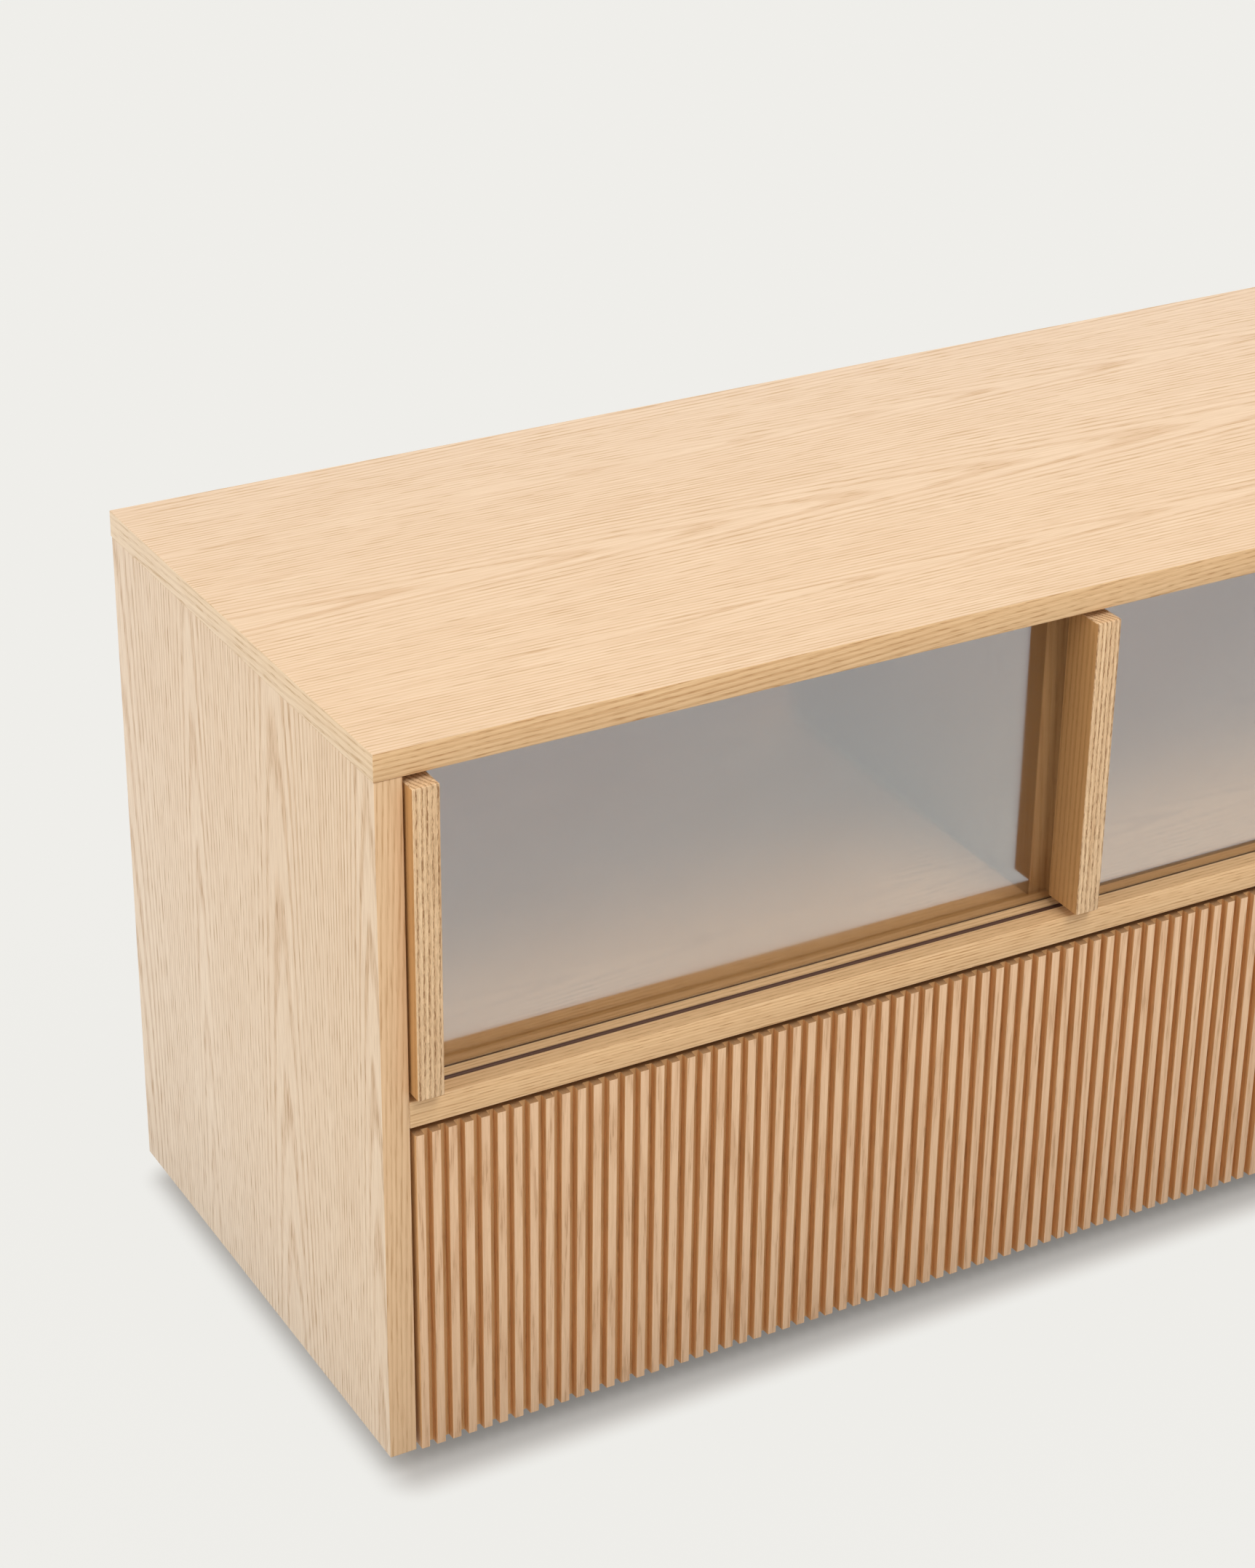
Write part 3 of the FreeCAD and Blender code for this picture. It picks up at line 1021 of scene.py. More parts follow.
def cut_socket(piece: Object, node: str, opening: Opening) -> None:
    """Cuts the groove or slot that a CAD node sits in.

    Args:
        piece: The board that is grooved.
        node: The CAD node that sits in the groove.
        opening: The way that the groove opens.
    """
    low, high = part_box(node)
    for axis, way in enumerate(opening.value):
        if way > 0:
            high[axis] += CLEARANCE
        if way < 0:
            low[axis] -= CLEARANCE
    combine(piece, add_block("cutter", low, high))


def cut_track_groove(piece: Object, node: str, level: Level) -> None:
    """Cuts the groove for a track: full width below the veneer, and slot width through it.

    Args:
        piece: The board that is grooved.
        node: The track's CAD node.
        level: The height that the track stands at.
    """
    low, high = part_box(node)
    slot_low = Vector((low.x, low.y + TRACK_WALL, low.z))
    slot_high = Vector((high.x, high.y - TRACK_WALL, high.z))
    if level.way > 0:
        high.z -= VENEER
        slot_high.z += CLEARANCE
    else:
        low.z += VENEER
        slot_low.z -= CLEARANCE
    combine(piece, add_block("cutter", low, high))
    combine(piece, add_block("cutter", slot_low, slot_high))


def drill_dowels(piece: Object) -> None:
    """Drills a board with the dowels that meet it, from a merged copy of their CAD node.

    Args:
        piece: The board to drill.
    """
    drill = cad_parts["case_dowels"].copy()
    drill.data = drill.data.copy()
    drill.parent = None
    bpy.context.scene.collection.objects.link(drill)
    pick(drill)
    bpy.ops.object.mode_set(mode="EDIT")
    bpy.ops.mesh.select_all(action="SELECT")
    bpy.ops.mesh.remove_doubles(threshold=TOUCH)
    bpy.ops.object.mode_set(mode="OBJECT")
    combine(piece, drill)


def smooth(piece: Object, degrees: float = 30.0) -> None:
    """Shades a piece smooth across its roundings and flat across its corners."""
    pick(piece)
    bpy.ops.object.shade_smooth_by_angle(angle=math.radians(degrees))


def copy_piece(piece: Object, move: Sequence[float]) -> Object:
    """Copies a piece with its own mesh and moves the copy's mesh. The copy stands for no node yet.

    Args:
        piece: The piece to copy.
        move: How far the copy is from the piece, in metres.

    Returns:
        The copy.
    """
    copy = piece.copy()
    copy.data = piece.data.copy()
    copy.data.transform(Matrix.Translation(Vector(move)))
    copy.pop("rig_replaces", None)
    bpy.context.scene.collection.objects.link(copy)
    return copy


def settle(piece: Object, name: str, body: str, slot: str, *nodes: str) -> None:
    """Names a finished piece and says which body it rides on and what it stands for.

    Args:
        piece: The finished piece.
        name: Its name.
        body: The CAD body that it moves with.
        slot: The name of a material slot. Not used.
        nodes: The CAD nodes that it replaces.
    """
    piece.name = name
    piece.data.name = name
    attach(piece, body)
    if nodes:
        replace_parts(piece, *nodes)
    LOG.info("%s: %d faces, rides on %s", name, len(piece.data.polygons), body)


def paint_faces(
    piece: Object,
    *materials: Material,
    choose: Callable[[Vector, Vector], int] = lambda middle, normal: 0,
) -> None:
    """Gives each face of a piece one of several materials.

    Args:
        piece: The piece to paint.
        materials: The materials, in the order of their numbers.
        choose: Gives a material's number from a face's middle and normal.
    """
    piece.data.materials.clear()
    for material in materials:
        piece.data.materials.append(material)
    for face in piece.data.polygons:
        face.material_index = choose(face.center, face.normal)


def paint_node(node: str, material: Material) -> None:
    """Gives a CAD node that is shown as it is one material.

    Args:
        node: The CAD node.
        material: The material that all of it gets.
    """
    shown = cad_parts[node]
    shown.data.materials.clear()
    shown.data.materials.append(material)
    LOG.info("%s: painted", node)


def outer_arris(low: Vector, high: Vector) -> Test:
    """A test for the twelve outer edges of a box.

    Args:
        low: The box's lowest corner.
        high: The box's highest corner.

    Returns:
        A function that says whether an edge lies on two of the box's faces.
    """

    def test(start: Vector, end: Vector) -> bool:
        """Says whether an edge lies on two of the box's faces.

        Args:
            start: One end of the edge.
            end: Its other end.

        Returns:
            True where both ends lie on the same two faces.
        """
        shared = [
            abs(start[axis] - side[axis]) < TOUCH and abs(end[axis] - side[axis]) < TOUCH
            for axis in Axis
            for side in (low, high)
        ]
        return sum(shared) >= 2

    return test


# ------------------------------------------------------------------ the case


class Lie(Enum):
    """How a board is set: the axes through its thickness and along its length."""

    FLAT = (Axis.Z, Axis.X)
    UPRIGHT = (Axis.X, Axis.Z)
    FRONT_TO_BACK = (Axis.X, Axis.Y)
    SIDE_TO_SIDE = (Axis.Y, Axis.X)


@dataclass
class Board:
    """A board: a block with eased arrises, its grooves and dowel holes and its banded edges. A
    board with a level is grooved for that level's tracks."""

    node: str
    lie: Lie
    face: Material
    band: Material
    end: Material
    sockets: Sequence[tuple[str, Opening]] = ()
    level: Level | None = None
    drilled: bool = True
    arris: float = 0.7
    body: str = "case"
    slot: str = "oak_veneer"

    def build(self) -> None:
        """Models the board, cuts its grooves and dowel holes and bands its edges."""
        low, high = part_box(self.node)
        board = add_block(self.node + "_board", low, high)
        ease(board, self.arris * MM, 2, outer_arris(low, high))
        for node, opening in self.sockets:
            cut_socket(board, node, opening)
        if self.level is not None:
            for node in self.level.tracks:
                cut_track_groove(board, node, self.level)
        if self.drilled:
            drill_dowels(board)
        paint_faces(board, self.face, self.band, self.end, choose=self.choose)
        smooth(board)
        settle(board, self.node + "_board", self.body, self.slot, self.node)

    def choose(self, middle: Vector, normal: Vector) -> int:
        """Tells a board's broad faces, its long edges and its ends apart by their normals.

        Args:
            middle: The face's middle.
            normal: The face's normal.

        Returns:
            0 for a broad face, 1 for a long edge or 2 for an end.
        """
        thickness, length = self.lie.value
        steepest = max(Axis, key=lambda axis: abs(normal[axis]))
        if steepest == thickness:
            return 0
        return 2 if steepest == length else 1


@dataclass
class Case:
    """The glued case: its boards, its back, its dowels and its feet."""

    finishes: Finishes

    def build(self) -> None:
        """Builds the whole case. The back and the dowels keep their CAD shape."""
        self.build_boards()
        for hand in Hand:
            paint_node(hand + "_back_panel", self.finishes.inner_face)
        self.build_feet()
        paint_node("case_dowels", self.finishes.beech)

    def build_boards(self) -> None:
        """Builds the nine boards of the case."""
        made = self.finishes
        flat_edges = (made.lengthwise_band, made.end_band)
        upright_edges = (made.upright_band, made.end_band)
        partitions = [(hand + "_partition", Opening.NONE) for hand in Hand]
        under_top = [(hand + "_back_panel", Opening.DOWN) for hand in Hand]
        over_bottom = [(hand + "_back_panel", Opening.UP) for hand in Hand]
        boards = [
            Board(
                "top_panel",
                Lie.FLAT,
                made.top_face,
                *flat_edges,
                sockets=partitions + under_top,
                level=Level.UPPER,
            )
        ]
        for hand in Hand:
            back = [(hand + "_back_panel", Opening.NONE)]
            side = hand + "_side_panel"
            boards.append(Board(side, Lie.UPRIGHT, made.side_face, *upright_edges, sockets=back))
        boards += [
            Board(
                "middle_shelf",
                Lie.FLAT,
                made.inner_face,
                *flat_edges,
                sockets=partitions,
                level=Level.LOWER,
            ),
            Board("bottom_panel", Lie.FLAT, made.inner_face, *flat_edges, sockets=over_bottom),
        ]
        for level in Level:
            divider = level + "_divider"
            boards.append(Board(divider, Lie.UPRIGHT, made.side_face, *upright_edges))
        # The partitions take the rift-cut veneer painted browner as painted shade.
        for node, _ in partitions:
            boards.append(Board(node, Lie.UPRIGHT, made.calm_face, *upright_edges, drilled=False))
        for board in boards:
            board.build()

    def build_feet(self) -> None:
        """Builds one moulded foot with its screw and copies both to the other five places."""
        rows, columns = ("front", "rear"), ("left", "middle", "right")
        first, *others = (f"{row}_{column}_foot" for row in rows for column in columns)
        pieces = Foot(first, self.finishes).build()
        for node in others:
            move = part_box(node)[0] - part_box(first)[0]
            moulding, screw = (copy_piece(piece, move) for piece in pieces)
            settle(moulding, node + "_moulding", "case", "foot_plastic", node)
            settle(screw, node + "_screw", "case", "runner_steel")


@dataclass
class Foot:
    """A moulded foot: a chamfered block under a plate, hollow below, held by one screw."""

    node: str
    finishes: Finishes
    plate: float = 4.0
    rim: float = 6.0
    corner: float = 7.0
    arris: float = 0.6
    sole: float = 1.5
    bore: float = 8.0
    bore_depth: float = 13.0
    head: float = 4.5

    def build(self) -> tuple[Object, Object]:
        """Models the foot and its screw.

        Returns:
            The moulding and the screw.
        """
        low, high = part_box(self.node)
        rim, plate = self.rim * MM, self.plate * MM
        top = add_block("plate", (low.x, low.y, high.z - plate), high)
        block_high = (high.x - rim, high.y - rim, high.z - plate / 2)
        block = add_block("block", (low.x + rim, low.y + rim, low.z), block_high)

        def upright(start: Vector, end: Vector) -> bool:
            """Says whether an edge stands upright."""
            return abs(start.z - end.z) > TOUCH

        ease(top, self.corner * MM, 1, upright)
        ease(block, self.corner * MM, 1, upright)
        ease(block, self.sole * MM, 2, lambda start, end: max(start.z, end.z) < low.z + TOUCH)
        under = high.z - plate - TOUCH
        ease(top, self.arris * MM, 2, lambda start, end: min(start.z, end.z) > under)
        combine(top, block, "UNION")
        middle = (low + high) / 2
        start = (middle.x, middle.y, low.z - CLEARANCE)
        depth = self.bore_depth * MM
        combine(top, add_rod("bore", start, Axis.Z, self.bore * MM, depth + CLEARANCE, 32))
        paint_faces(top, self.finishes.foot)
        smooth(top)
        settle(top, self.node + "_moulding", "case", "foot_plastic", self.node)
        seat = (middle.x, middle.y, low.z + depth)
        screw = Screw(self.node + "_screw", seat, Axis.Z, -1, self.head, self.finishes.zinc)
        return top, screw.build()


@dataclass
class Screw:
    """A pan-head screw with a cross recess, of which only the head shows. Its rise, crown and
    recess are shares of the head's radius or height."""

    name: str
    seat: Sequence[float]
    axis: Axis
    way: int
    radius: float
    material: Material
    body: str = "case"
    rise: float = 0.5
    crown: float = 0.6
    recess_width: float = 0.22
    recess_reach: float = 0.62
    recess_depth: float = 0.6

    def build(self) -> Object:
        """Models the head on its seat, rounds its crown and cuts its recess.

        Returns:
            The finished screw.
        """
        radius, axis = self.radius * MM, self.axis
        tall = radius * self.rise
        start = Vector(self.seat)
        if self.way < 0:
            start[axis] -= tall
        head = add_rod(self.name, start, axis, radius, tall, 24)
        top = self.seat[axis] + self.way * tall

        def on_top(first: Vector, second: Vector) -> bool:
            """Says whether an edge lies on the head's outer face."""
            return abs(first[axis] - top) < TOUCH and abs(second[axis] - top) < TOUCH

        ease(head, tall * self.crown, 3, on_top)
        for slot in Axis:
            if slot is axis:
                continue
            low, high = Vector(self.seat), Vector(self.seat)
            for other in Axis:
                share = self.recess_reach if other is slot else self.recess_width / 2
                low[other] -= radius * share
                high[other] += radius * share
            outer, inner = top + self.way * tall, top - self.way * tall * self.recess_depth
            low[axis], high[axis] = min(outer, inner), max(outer, inner)
            combine(head, add_block("recess", low, high))
        paint_faces(head, self.material)
        smooth(head, 40.0)
        settle(head, self.name, self.body, "runner_steel")
        return head


# ------------------------------------------------------------------ glass doors


@dataclass
class GlassDoors:
    """Four sliding doors: each a pane of tinted glass with a solid oak post over one edge."""

    finishes: Finishes
    names: Sequence[str] = ("left_outer", "left_inner", "right_inner", "right_outer")
    post_arris: float = 1.1
    glass_arris: float = 0.4
    track_arris: float = 0.15

    def build(self) -> None:
        """Builds the tracks and the four doors."""
        for lower, upper in zip(Level.LOWER.tracks, Level.UPPER.tracks):
            self.build_track(lower, Level.LOWER)
            self.build_track(upper, Level.UPPER)
        for name in self.names:
            self.build_pane(name)
            self.build_post(name)

    def build_track(self, node: str, level: Level) -> None:
        """Models a channel whose rims end just under the veneer, and hollows it.

        Args:
            node: The track's CAD node.
            level: The height that the track stands at.
        """
        low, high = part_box(node)
        hollow_low = Vector((low.x - CLEARANCE, low.y + TRACK_WALL, low.z))
        hollow_high = Vector((high.x + CLEARANCE, high.y - TRACK_WALL, high.z))
        if level.way > 0:
            high.z -= VENEER
            hollow_low.z += TRACK_WALL
            hollow_high.z += CLEARANCE
        else:
            low.z += VENEER
            hollow_high.z -= TRACK_WALL
            hollow_low.z -= CLEARANCE
        track = add_block(node + "_channel", low, high)
        combine(track, add_block("hollow", hollow_low, hollow_high))
        ease(track, self.track_arris * MM, 1, lambda start, end: abs(start.x - end.x) > CLEARANCE)
        paint_faces(track, self.finishes.track)
        smooth(track)
        settle(track, node + "_channel", "case", "track_plastic", node)

    def build_pane(self, name: str) -> None:
        """Models a pane with ground arrises.

        Args:
            name: The door's name.
        """
        node = name + "_pane"
        low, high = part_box(node)
        pane = add_block(node + "_glass", low, high)
        ease(pane, self.glass_arris * MM, 2, outer_arris(low, high))
        paint_faces(pane, self.finishes.glass)
        settle(pane, node + "_glass", name + "_door", "tinted_glass", node)

    def build_post(self, name: str) -> None:
        """Models a post with rounded arrises and the slot for its pane.

        Args:
            name: The door's name.
        """
        node = name + "_handle"
        low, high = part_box(node)
        post = add_block(node + "_post", low, high)
        ease(post, self.post_arris * MM, 3, outer_arris(low, high))
        cut_socket(post, name + "_pane", Opening.NONE)
        paint_faces(
            post,
            self.finishes.post,
            self.finishes.post_side,
            choose=lambda middle, normal: int(abs(normal.x) > SQUARELY),
        )
        smooth(post)
        settle(post, node + "_post", name + "_door", "oak_post", node)


# ------------------------------------------------------------------ drawers


@dataclass
class Drawer:
    """A drawer: a fluted solid front, a foil-faced box and a runner at each side."""

    hand: Hand
    finishes: Finishes
    slats: int = 87
    slat_width: float = 5.6
    flute_depth: float = 6.0
    flare: float = 0.4
    slat_arris: float = 0.35
    front_arris: float = 0.6
    side_arris: float = 0.7
    back_arris: float = 0.3
    rail_web: float = 1.2
    first_screw: float = 36.0
    screw_spacing: float = 128.0
    screw_radius: float = 3.0
    screw_rise: float = 0.26

    @property
    def name(self) -> str:
        """The drawer's name, which is also its body's."""
        return self.hand + "_drawer"

    def build(self) -> None:
        """Builds the front, the box and the runners."""
        self.build_front()
        self.build_box()
        self.build_runners()

    def build_front(self) -> None:
        """Models the front: one block, one cutter repeated along it, then the slats' arrises."""
        node = self.name + "_front"
        low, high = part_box(node)
        front = add_block(node + "_fluted", low, high)
        ease(front, self.front_arris * MM, 2, outer_arris(low, high))
        slat = self.slat_width * MM
        pitch = (high.x - low.x - slat) / (self.slats - 1)
        floor = low.y + self.flute_depth * MM
        cutter = add_block(
            "flute",
            (low.x + slat, low.y - CLEARANCE, low.z - CLEARANCE),
            (low.x + pitch, floor, high.z + CLEARANCE),
        )
        edit_faces(cutter, lambda middle, normal: abs(middle.y - floor) < TOUCH)
        narrow = 1 - 2 * self.flare * MM / (pitch - slat)
        bpy.ops.transform.resize(
            value=(narrow, 1, 1), center_override=(low.x + (slat + pitch) / 2, floor, 0)
        )
        bpy.ops.object.mode_set(mode="OBJECT")
        row = cutter.modifiers.new("row", "ARRAY")
        row.count = self.slats - 1
        row.use_relative_offset = False
        row.use_constant_offset = True
        row.constant_offset_displace = (pitch, 0, 0)
        apply_modifiers(cutter)
        combine(front, cutter)

        def slat_edge(start: Vector, end: Vector) -> bool:
            """Says whether an edge is an upright arris between a slat's face and a flute.

            Args:
                start: One end of the edge.
                end: Its other end.

            Returns:
                True where the edge is one of those arrises.
            """
            upright = abs(start.x - end.x) < TOUCH and abs(start.y - end.y) < TOUCH
            inside = low.x + slat / 2 < start.x < high.x - slat / 2
            return upright and inside and abs(start.y - low.y) < NEAR

        ease(front, self.slat_arris * MM, 1, slat_edge)
        cut_socket(front, self.name + "_base", Opening.NONE)

        def choose(middle: Vector, normal: Vector) -> int:
            """Tells the sawn ends and the flutes' floors from the rest of the front.

            Args:
                middle: The face's middle.
                normal: The face's normal.

            Returns:
                1 for a sawn end, 2 for a flute's floor or 0 for the rest.
            """
            # Sawn ends: their finish is darkened partly as painted shade.
            if abs(normal.z) > SQUARELY:
                return 1
            return 2 if abs(middle.y - floor) < TOUCH else 0

        made = self.finishes
        # The flutes' floors take the finish that holds their painted shade.
        paint_faces(front, made.fluted, made.end_grain, made.flute_floor, choose=choose)
        smooth(front)
        settle(front, node + "_fluted", self.name, "oak_fluted", node)

    def build_box(self) -> None:
        """Builds the box's two sides, back and base as foil-faced boards."""
        foil, base = self.finishes.drawer_foil, self.name + "_base"
        groove = [(base, Opening.NONE)]
        boards = [
            (f"{self.name}_{side}_side", Lie.FRONT_TO_BACK, groove, self.side_arris)
            for side in Hand
        ]
        boards.append((self.name + "_back", Lie.SIDE_TO_SIDE, [], self.back_arris))
        boards.append((base, Lie.FLAT, [], self.back_arris))
        for node, lie, sockets, arris in boards:
            Board(
                node,
                lie,
                *[foil] * 3,
                sockets=sockets,
                drilled=False,
                arris=arris,
                body=self.name,
                slot="drawer_board",
            ).build()

    def build_runners(self) -> None:
        """Dresses the three rails at each side and adds the screws that hold them."""
        for side in Hand:
            stem = f"{self.name}_{side}"
            for rail in ("outer", "middle", "inner"):
                paint_node(f"{stem}_{rail}_rail", self.finishes.zinc)
            self.screw_rail(stem, "outer", side, "case")
            self.screw_rail(stem, "inner", side, self.name)

    def screw_rail(self, stem: str, rail: str, side: Hand, body: str) -> None:
        """Adds the screws in the web of one rail, one modelled and two copied from it.

        Args:
            stem: The runner's name.
            rail: The rail's part of the name.
            side: The side of the drawer that the runner is on.
            body: The body that the rail belongs to.
        """
        low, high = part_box(f"{stem}_{rail}_rail")
        name = f"{stem}_{rail}_screw_"
        faces_right = (rail == "outer") == (side is Hand.LEFT)
        seat_x = low.x + self.rail_web * MM if faces_right else high.x - self.rail_web * MM
        screw = Screw(
            name + "1",
            (seat_x, low.y + self.first_screw * MM, (low.z + high.z) / 2),
            Axis.X,
            1 if faces_right else -1,
            self.screw_radius,
            self.finishes.zinc,
            body,
            rise=self.screw_rise,
        ).build()
        for number in (2, 3):
            copy = copy_piece(screw, (0, (number - 1) * self.screw_spacing * MM, 0))
            settle(copy, name + str(number), body, "runner_steel")


# ------------------------------------------------------------------ studio


@dataclass
class Lamp:
    """A broad soft lamp far away."""

    name: str
    azimuth: float
    elevation: float
    spread: float
    strength: float
    colour: str = "#FFFFFF"

    def build(self) -> None:
        """Adds the lamp, aimed at the cabinet from its azimuth and elevation in degrees."""
        deselect()
        turn = Euler((math.radians(90 - self.elevation), 0, math.radians(self.azimuth)), "XYZ")
        bpy.ops.object.light_add(type="SUN", location=(0, 0, 4), rotation=turn)
        lamp = bpy.context.object
        lamp.name = self.name
        lamp.data.angle = math.radians(self.spread)
        lamp.data.energy = self.strength
        lamp.data.color = linear(self.colour)[:3]
        LOG.info("%s: lamp", self.name)


@dataclass
class Studio:
    """A pale floor, an even pale surround, three soft lamps and the camera. The floor keeps the
    cabinet's shadow near it and fades to the backdrop's colour. Its lengths are metres, and
    mirrored is how much brighter the room is in a mirror than it is to the camera."""

    lamps: Sequence[Lamp] = (
        Lamp("key_lamp", azimuth=150, elevation=58, spread=38, strength=0.42, colour="#FFFCF8"),
        Lamp("left_lamp", azimuth=-92, elevation=30, spread=60, strength=1.2),
        Lamp("front_lamp", azimuth=10, elevation=58, spread=30, strength=1.66),
    )
    backdrop: str = "#EFEEEA"
    floor_near: str = "#E1EFF8"
    floor_far: str = "#DBE4EE"
    floor_albedo: str = "#E6E5E2"
    # Painted shade: the matt floor's darker colour beside the cabinet.
    floor_beside: str = "#B9B6B2"
    beside_reach: float = 0.4
    surround: float = 0.4
    near_share: float = 0.2
    far_share: float = 0.98
    fade: float = 0.033
    side_inset: float = 0.021
    front_inset: float = 0.0135
    mirrored: float = 1.9
    cloud_scale: float = 2.2
    cloud_weight: float = 0.3
    turns_at: tuple[float, float] = (0.55, 1.05)
    floor_size: float = 80.0
    focal_length: float = 81.88
    sensor: float = 36.0
    eye: Point = (-1.7602, -1.8400, 1.4437)
    azimuth: float = -29.41
    elevation: float = 27.46
    roll: float = 0.66
    farthest: float = 200.0

    def build(self) -> None:
        """Builds the floor, the surround, the lamps and the camera."""
        self.build_floor()
        self.build_surround()
        for lamp in self.lamps:
            lamp.build()
        self.build_camera()
        bpy.context.scene.view_settings.view_transform = "Standard"

    def seen_directly(self, tree: NodeTree) -> Node:
        """Tells rays from the camera, mirrors and glass from those that carry light.

        Args:
            tree: The node tree to add to.

        Returns:
            A node that is 1 for a ray that is seen.
        """
        rays = add_node(tree, "LightPath").outputs
        mirror = rays["Is Glossy Ray"]
        seen = add_node(tree, "Math", {0: rays["Is Camera Ray"], 1: mirror}, operation="MAXIMUM")
        through = {0: seen, 1: rays["Is Transmission Ray"]}
        return add_node(tree, "Math", through, operation="MAXIMUM")

    def mirror_strength(self, tree: NodeTree) -> Node:
        """Makes the room brighter in a mirror than it is to the camera.

        Args:
            tree: The node tree to add to.

        Returns:
            A node with the strength, which is 1 to the camera.
        """
        mirror = add_node(tree, "LightPath").outputs["Is Glossy Ray"]
        return add_node(
            tree, "Math", {0: mirror, 1: self.mirrored - 1, 2: 1.0}, operation="MULTIPLY_ADD"
        )

    def tone(self, tree: NodeTree, in_mirror: Sequence[float] | Node) -> Node:
        """The backdrop's colour to the camera, and another one in a mirror.

        Args:
            tree: The node tree to add to.
            in_mirror: The colour that a mirror sees.

        Returns:
            The node with the colour.
        """
        mirror = add_node(tree, "LightPath").outputs["Is Glossy Ray"]
        return add_node(
            tree,
            "Mix",
            {Mix.SHARE: mirror, Mix.UNDER: linear(self.backdrop), Mix.OVER: in_mirror},
            data_type="RGBA",
        )

    def from_cabinet(self, tree: NodeTree) -> Node:
        """Measures how far a point of the floor is from a line just inside the cabinet's outline.

        Args:
            tree: The floor's node tree.

        Returns:
            A node with the distance in metres, which is 0 under the cabinet.
        """
        low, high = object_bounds()
        coordinates = add_node(tree, "TexCoord")
        parts = add_node(tree, "SeparateXYZ", {0: coordinates.outputs["Object"]})
        beyond = {}
        for axis, inset in ((Axis.X, self.side_inset), (Axis.Y, self.front_inset)):
            reach = max(-low[axis], high[axis]) - inset
            away = add_node(tree, "Math", {0: parts.outputs[axis]}, operation="ABSOLUTE")
            away = add_node(tree, "Math", {0: away, 1: reach}, operation="SUBTRACT")
            beyond[axis] = add_node(tree, "Math", {0: away, 1: 0.0}, operation="MAXIMUM")
        spot = add_node(tree, "CombineXYZ", beyond)
        return add_node(tree, "VectorMath", {0: spot}, operation="LENGTH")

    def floor_tone(self, tree: NodeTree, distance: Node) -> Node:
        """The floor's painted colour. A mirror sees it cooler than the camera does, and in soft
        clouds greyer further off.

        Args:
            tree: The floor's node tree.
            distance: The distance from the cabinet, from from_cabinet().

        Returns:
            The node with the colour.
        """
        place = add_node(tree, "TexCoord").outputs["Object"]
        cloud = add_node(tree, "TexNoise", {"Vector": place, "Scale": self.cloud_scale})
        away = add_node(
            tree, "Math", {0: cloud, 1: self.cloud_weight, 2: distance}, operation="MULTIPLY_ADD"
        )
        start, end = self.turns_at
        far = add_node(
            tree,
            "MapRange",
            {0: away, "From Min": start, "From Max": end},
            interpolation_type="SMOOTHSTEP",
        )
        near, further = linear(self.floor_near), linear(self.floor_far)
        mirrored = add_node(
            tree, "Mix", {Mix.SHARE: far, Mix.UNDER: near, Mix.OVER: further}, data_type="RGBA"
        )
        return self.tone(tree, mirrored)

    def build_floor(self) -> None:
        """Adds the floor, which keeps the cabinet's shadow close to it and whose matt colour is
        painted darker beside the cabinet as painted shade.
        """
        deselect()
        bpy.ops.mesh.primitive_plane_add(size=self.floor_size, location=(0, 0, 0))
        floor = bpy.context.object
        floor.name = "studio_floor"
        floor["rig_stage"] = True
        material = blank_material("painted_studio_floor")
        tree = material.node_tree
        distance = self.from_cabinet(tree)
        # Painted shade: the matt floor is darker beside the cabinet, out to its reach, which
        # darkens the cabinet's shadow and the light bounced onto its lower sides.
        away = add_node(
            tree, "MapRange", {0: distance, "From Min": 0.0, "From Max": self.beside_reach}
        )
        beside, off = linear(self.floor_beside), linear(self.floor_albedo)
        bounce = add_node(
            tree, "Mix", {Mix.SHARE: away, Mix.UNDER: beside, Mix.OVER: off}, data_type="RGBA"
        )
        matt = add_node(tree, "BsdfDiffuse", {"Color": bounce})
        colour, strength = self.floor_tone(tree, distance), self.mirror_strength(tree)
        paint = add_node(tree, "Emission", {"Color": colour, "Strength": strength})
        open_floor = add_node(
            tree,
            "MapRange",
            {
                0: distance,
                "From Min": 0.0,
                "From Max": self.fade,
                "To Min": self.near_share,
                "To Max": self.far_share,
            },
            interpolation_type="SMOOTHSTEP",
        )
        share = add_node(
            tree, "Math", {0: self.seen_directly(tree), 1: open_floor}, operation="MULTIPLY"
        )
        surface = add_node(tree, "MixShader", {0: share, 1: matt, 2: paint})
        add_node(tree, "OutputMaterial", {"Surface": surface})
        floor.data.materials.append(material)
        LOG.info("studio_floor: built")

    def build_surround(self) -> None:
        """Lights the scene evenly, and shows the backdrop's colour where it is seen."""
        world = bpy.data.worlds.new("studio_surround")
        world.use_nodes = True
        tree = world.node_tree
        tree.nodes.clear()
        light = add_node(
            tree, "Background", {"Color": linear("#FFFFFF"), "Strength": self.surround}
        )
        colour, strength = self.tone(tree, linear(self.floor_far)), self.mirror_strength(tree)
        shown = add_node(tree, "Background", {"Color": colour, "Strength": strength})
        mixed = add_node(tree, "MixShader", {0: self.seen_directly(tree), 1: light, 2: shown})
        add_node(tree, "OutputWorld", {"Surface": mixed})
        bpy.context.scene.world = world

    def build_camera(self) -> None:
        """Adds the camera at its place, turned and rolled."""
        deselect()
        turn = Matrix.Rotation(math.radians(self.azimuth), 4, "Z")
        tip = Matrix.Rotation(math.radians(90 - self.elevation), 4, "X")
        roll = Matrix.Rotation(math.radians(self.roll), 4, "Z")
        bpy.ops.object.camera_add(location=self.eye, rotation=(turn @ tip @ roll).to_euler())
        camera = bpy.context.object
        camera.name = "studio_camera"
        camera.data.sensor_fit = "VERTICAL"
        camera.data.sensor_height = self.sensor
        camera.data.lens = self.focal_length
        camera.data.clip_end = self.farthest
        bpy.context.scene.camera = camera


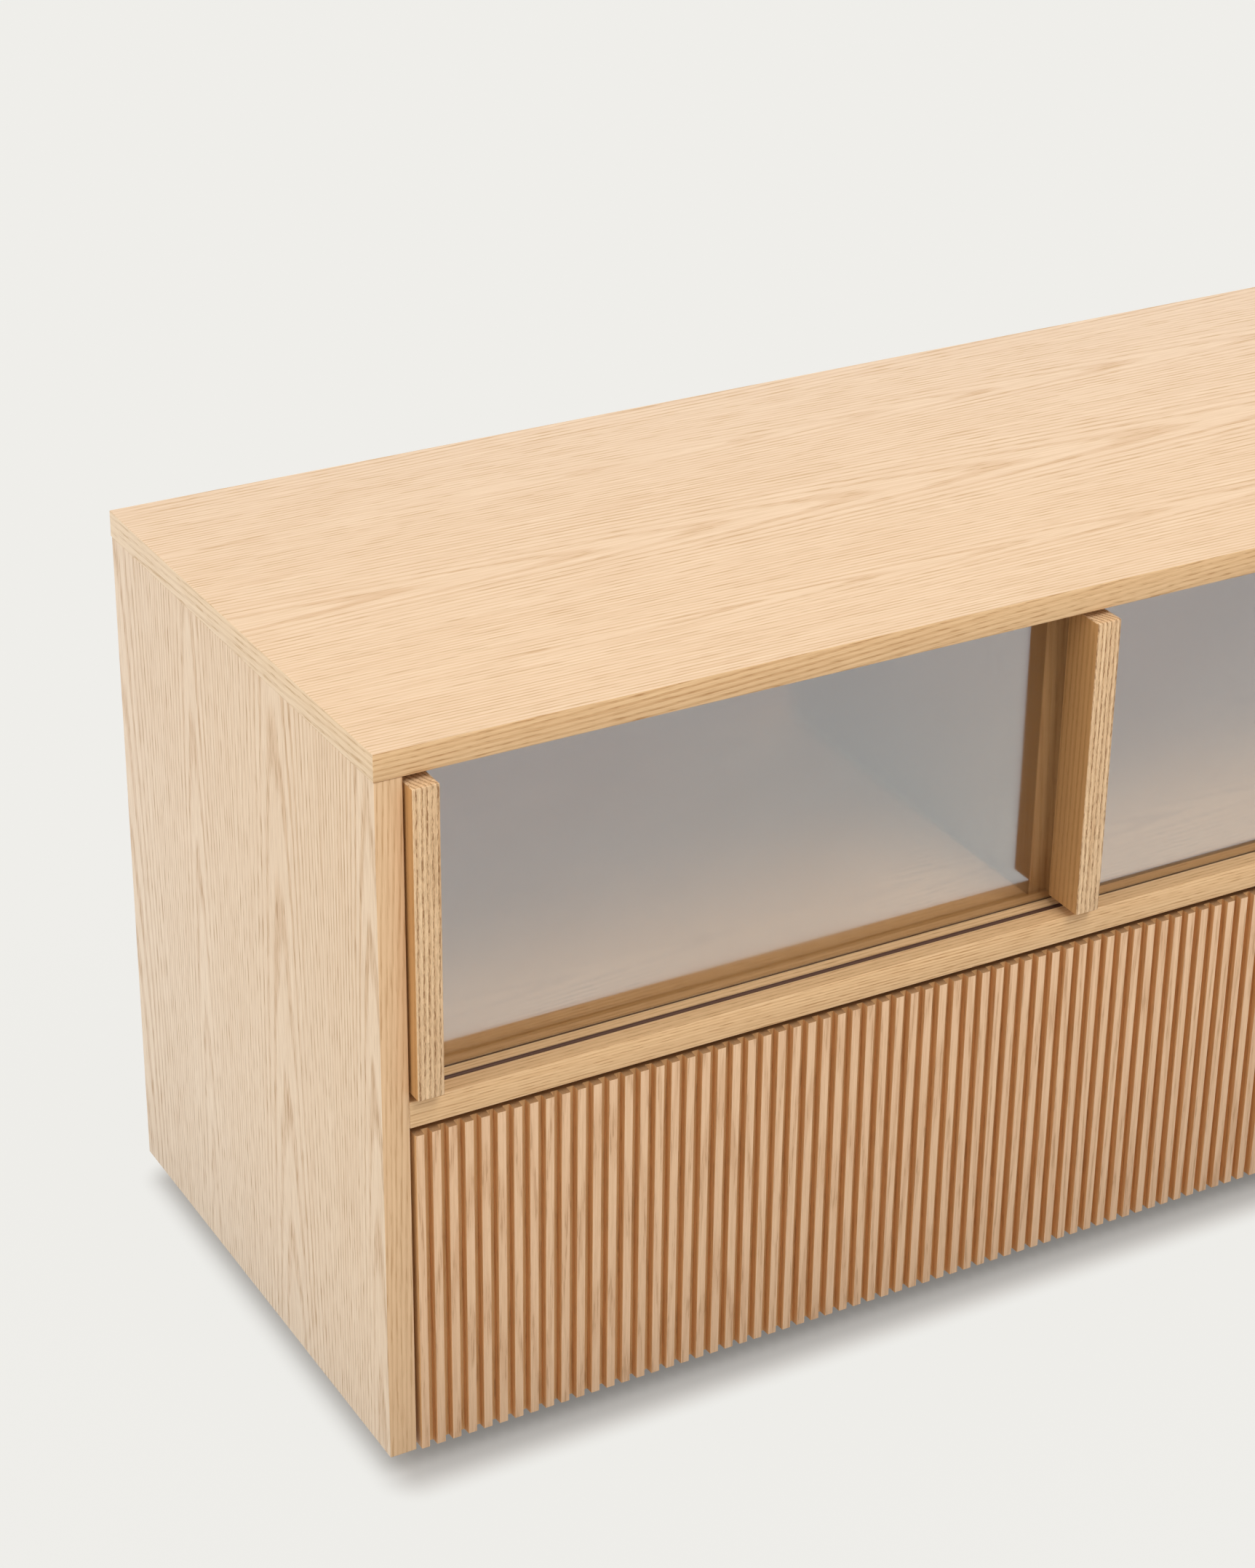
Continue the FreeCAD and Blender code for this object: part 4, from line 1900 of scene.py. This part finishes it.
def main() -> None:
    """Builds the cabinet's looks in order, then the studio."""
    logging.basicConfig(level=logging.INFO, format="%(name)s %(message)s")
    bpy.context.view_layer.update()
    finishes = Finishes()
    Case(finishes).build()
    GlassDoors(finishes).build()
    for hand in Hand:
        Drawer(hand, finishes).build()
    Studio().build()
    bpy.context.view_layer.update()


if __name__ == "__main__":
    main()
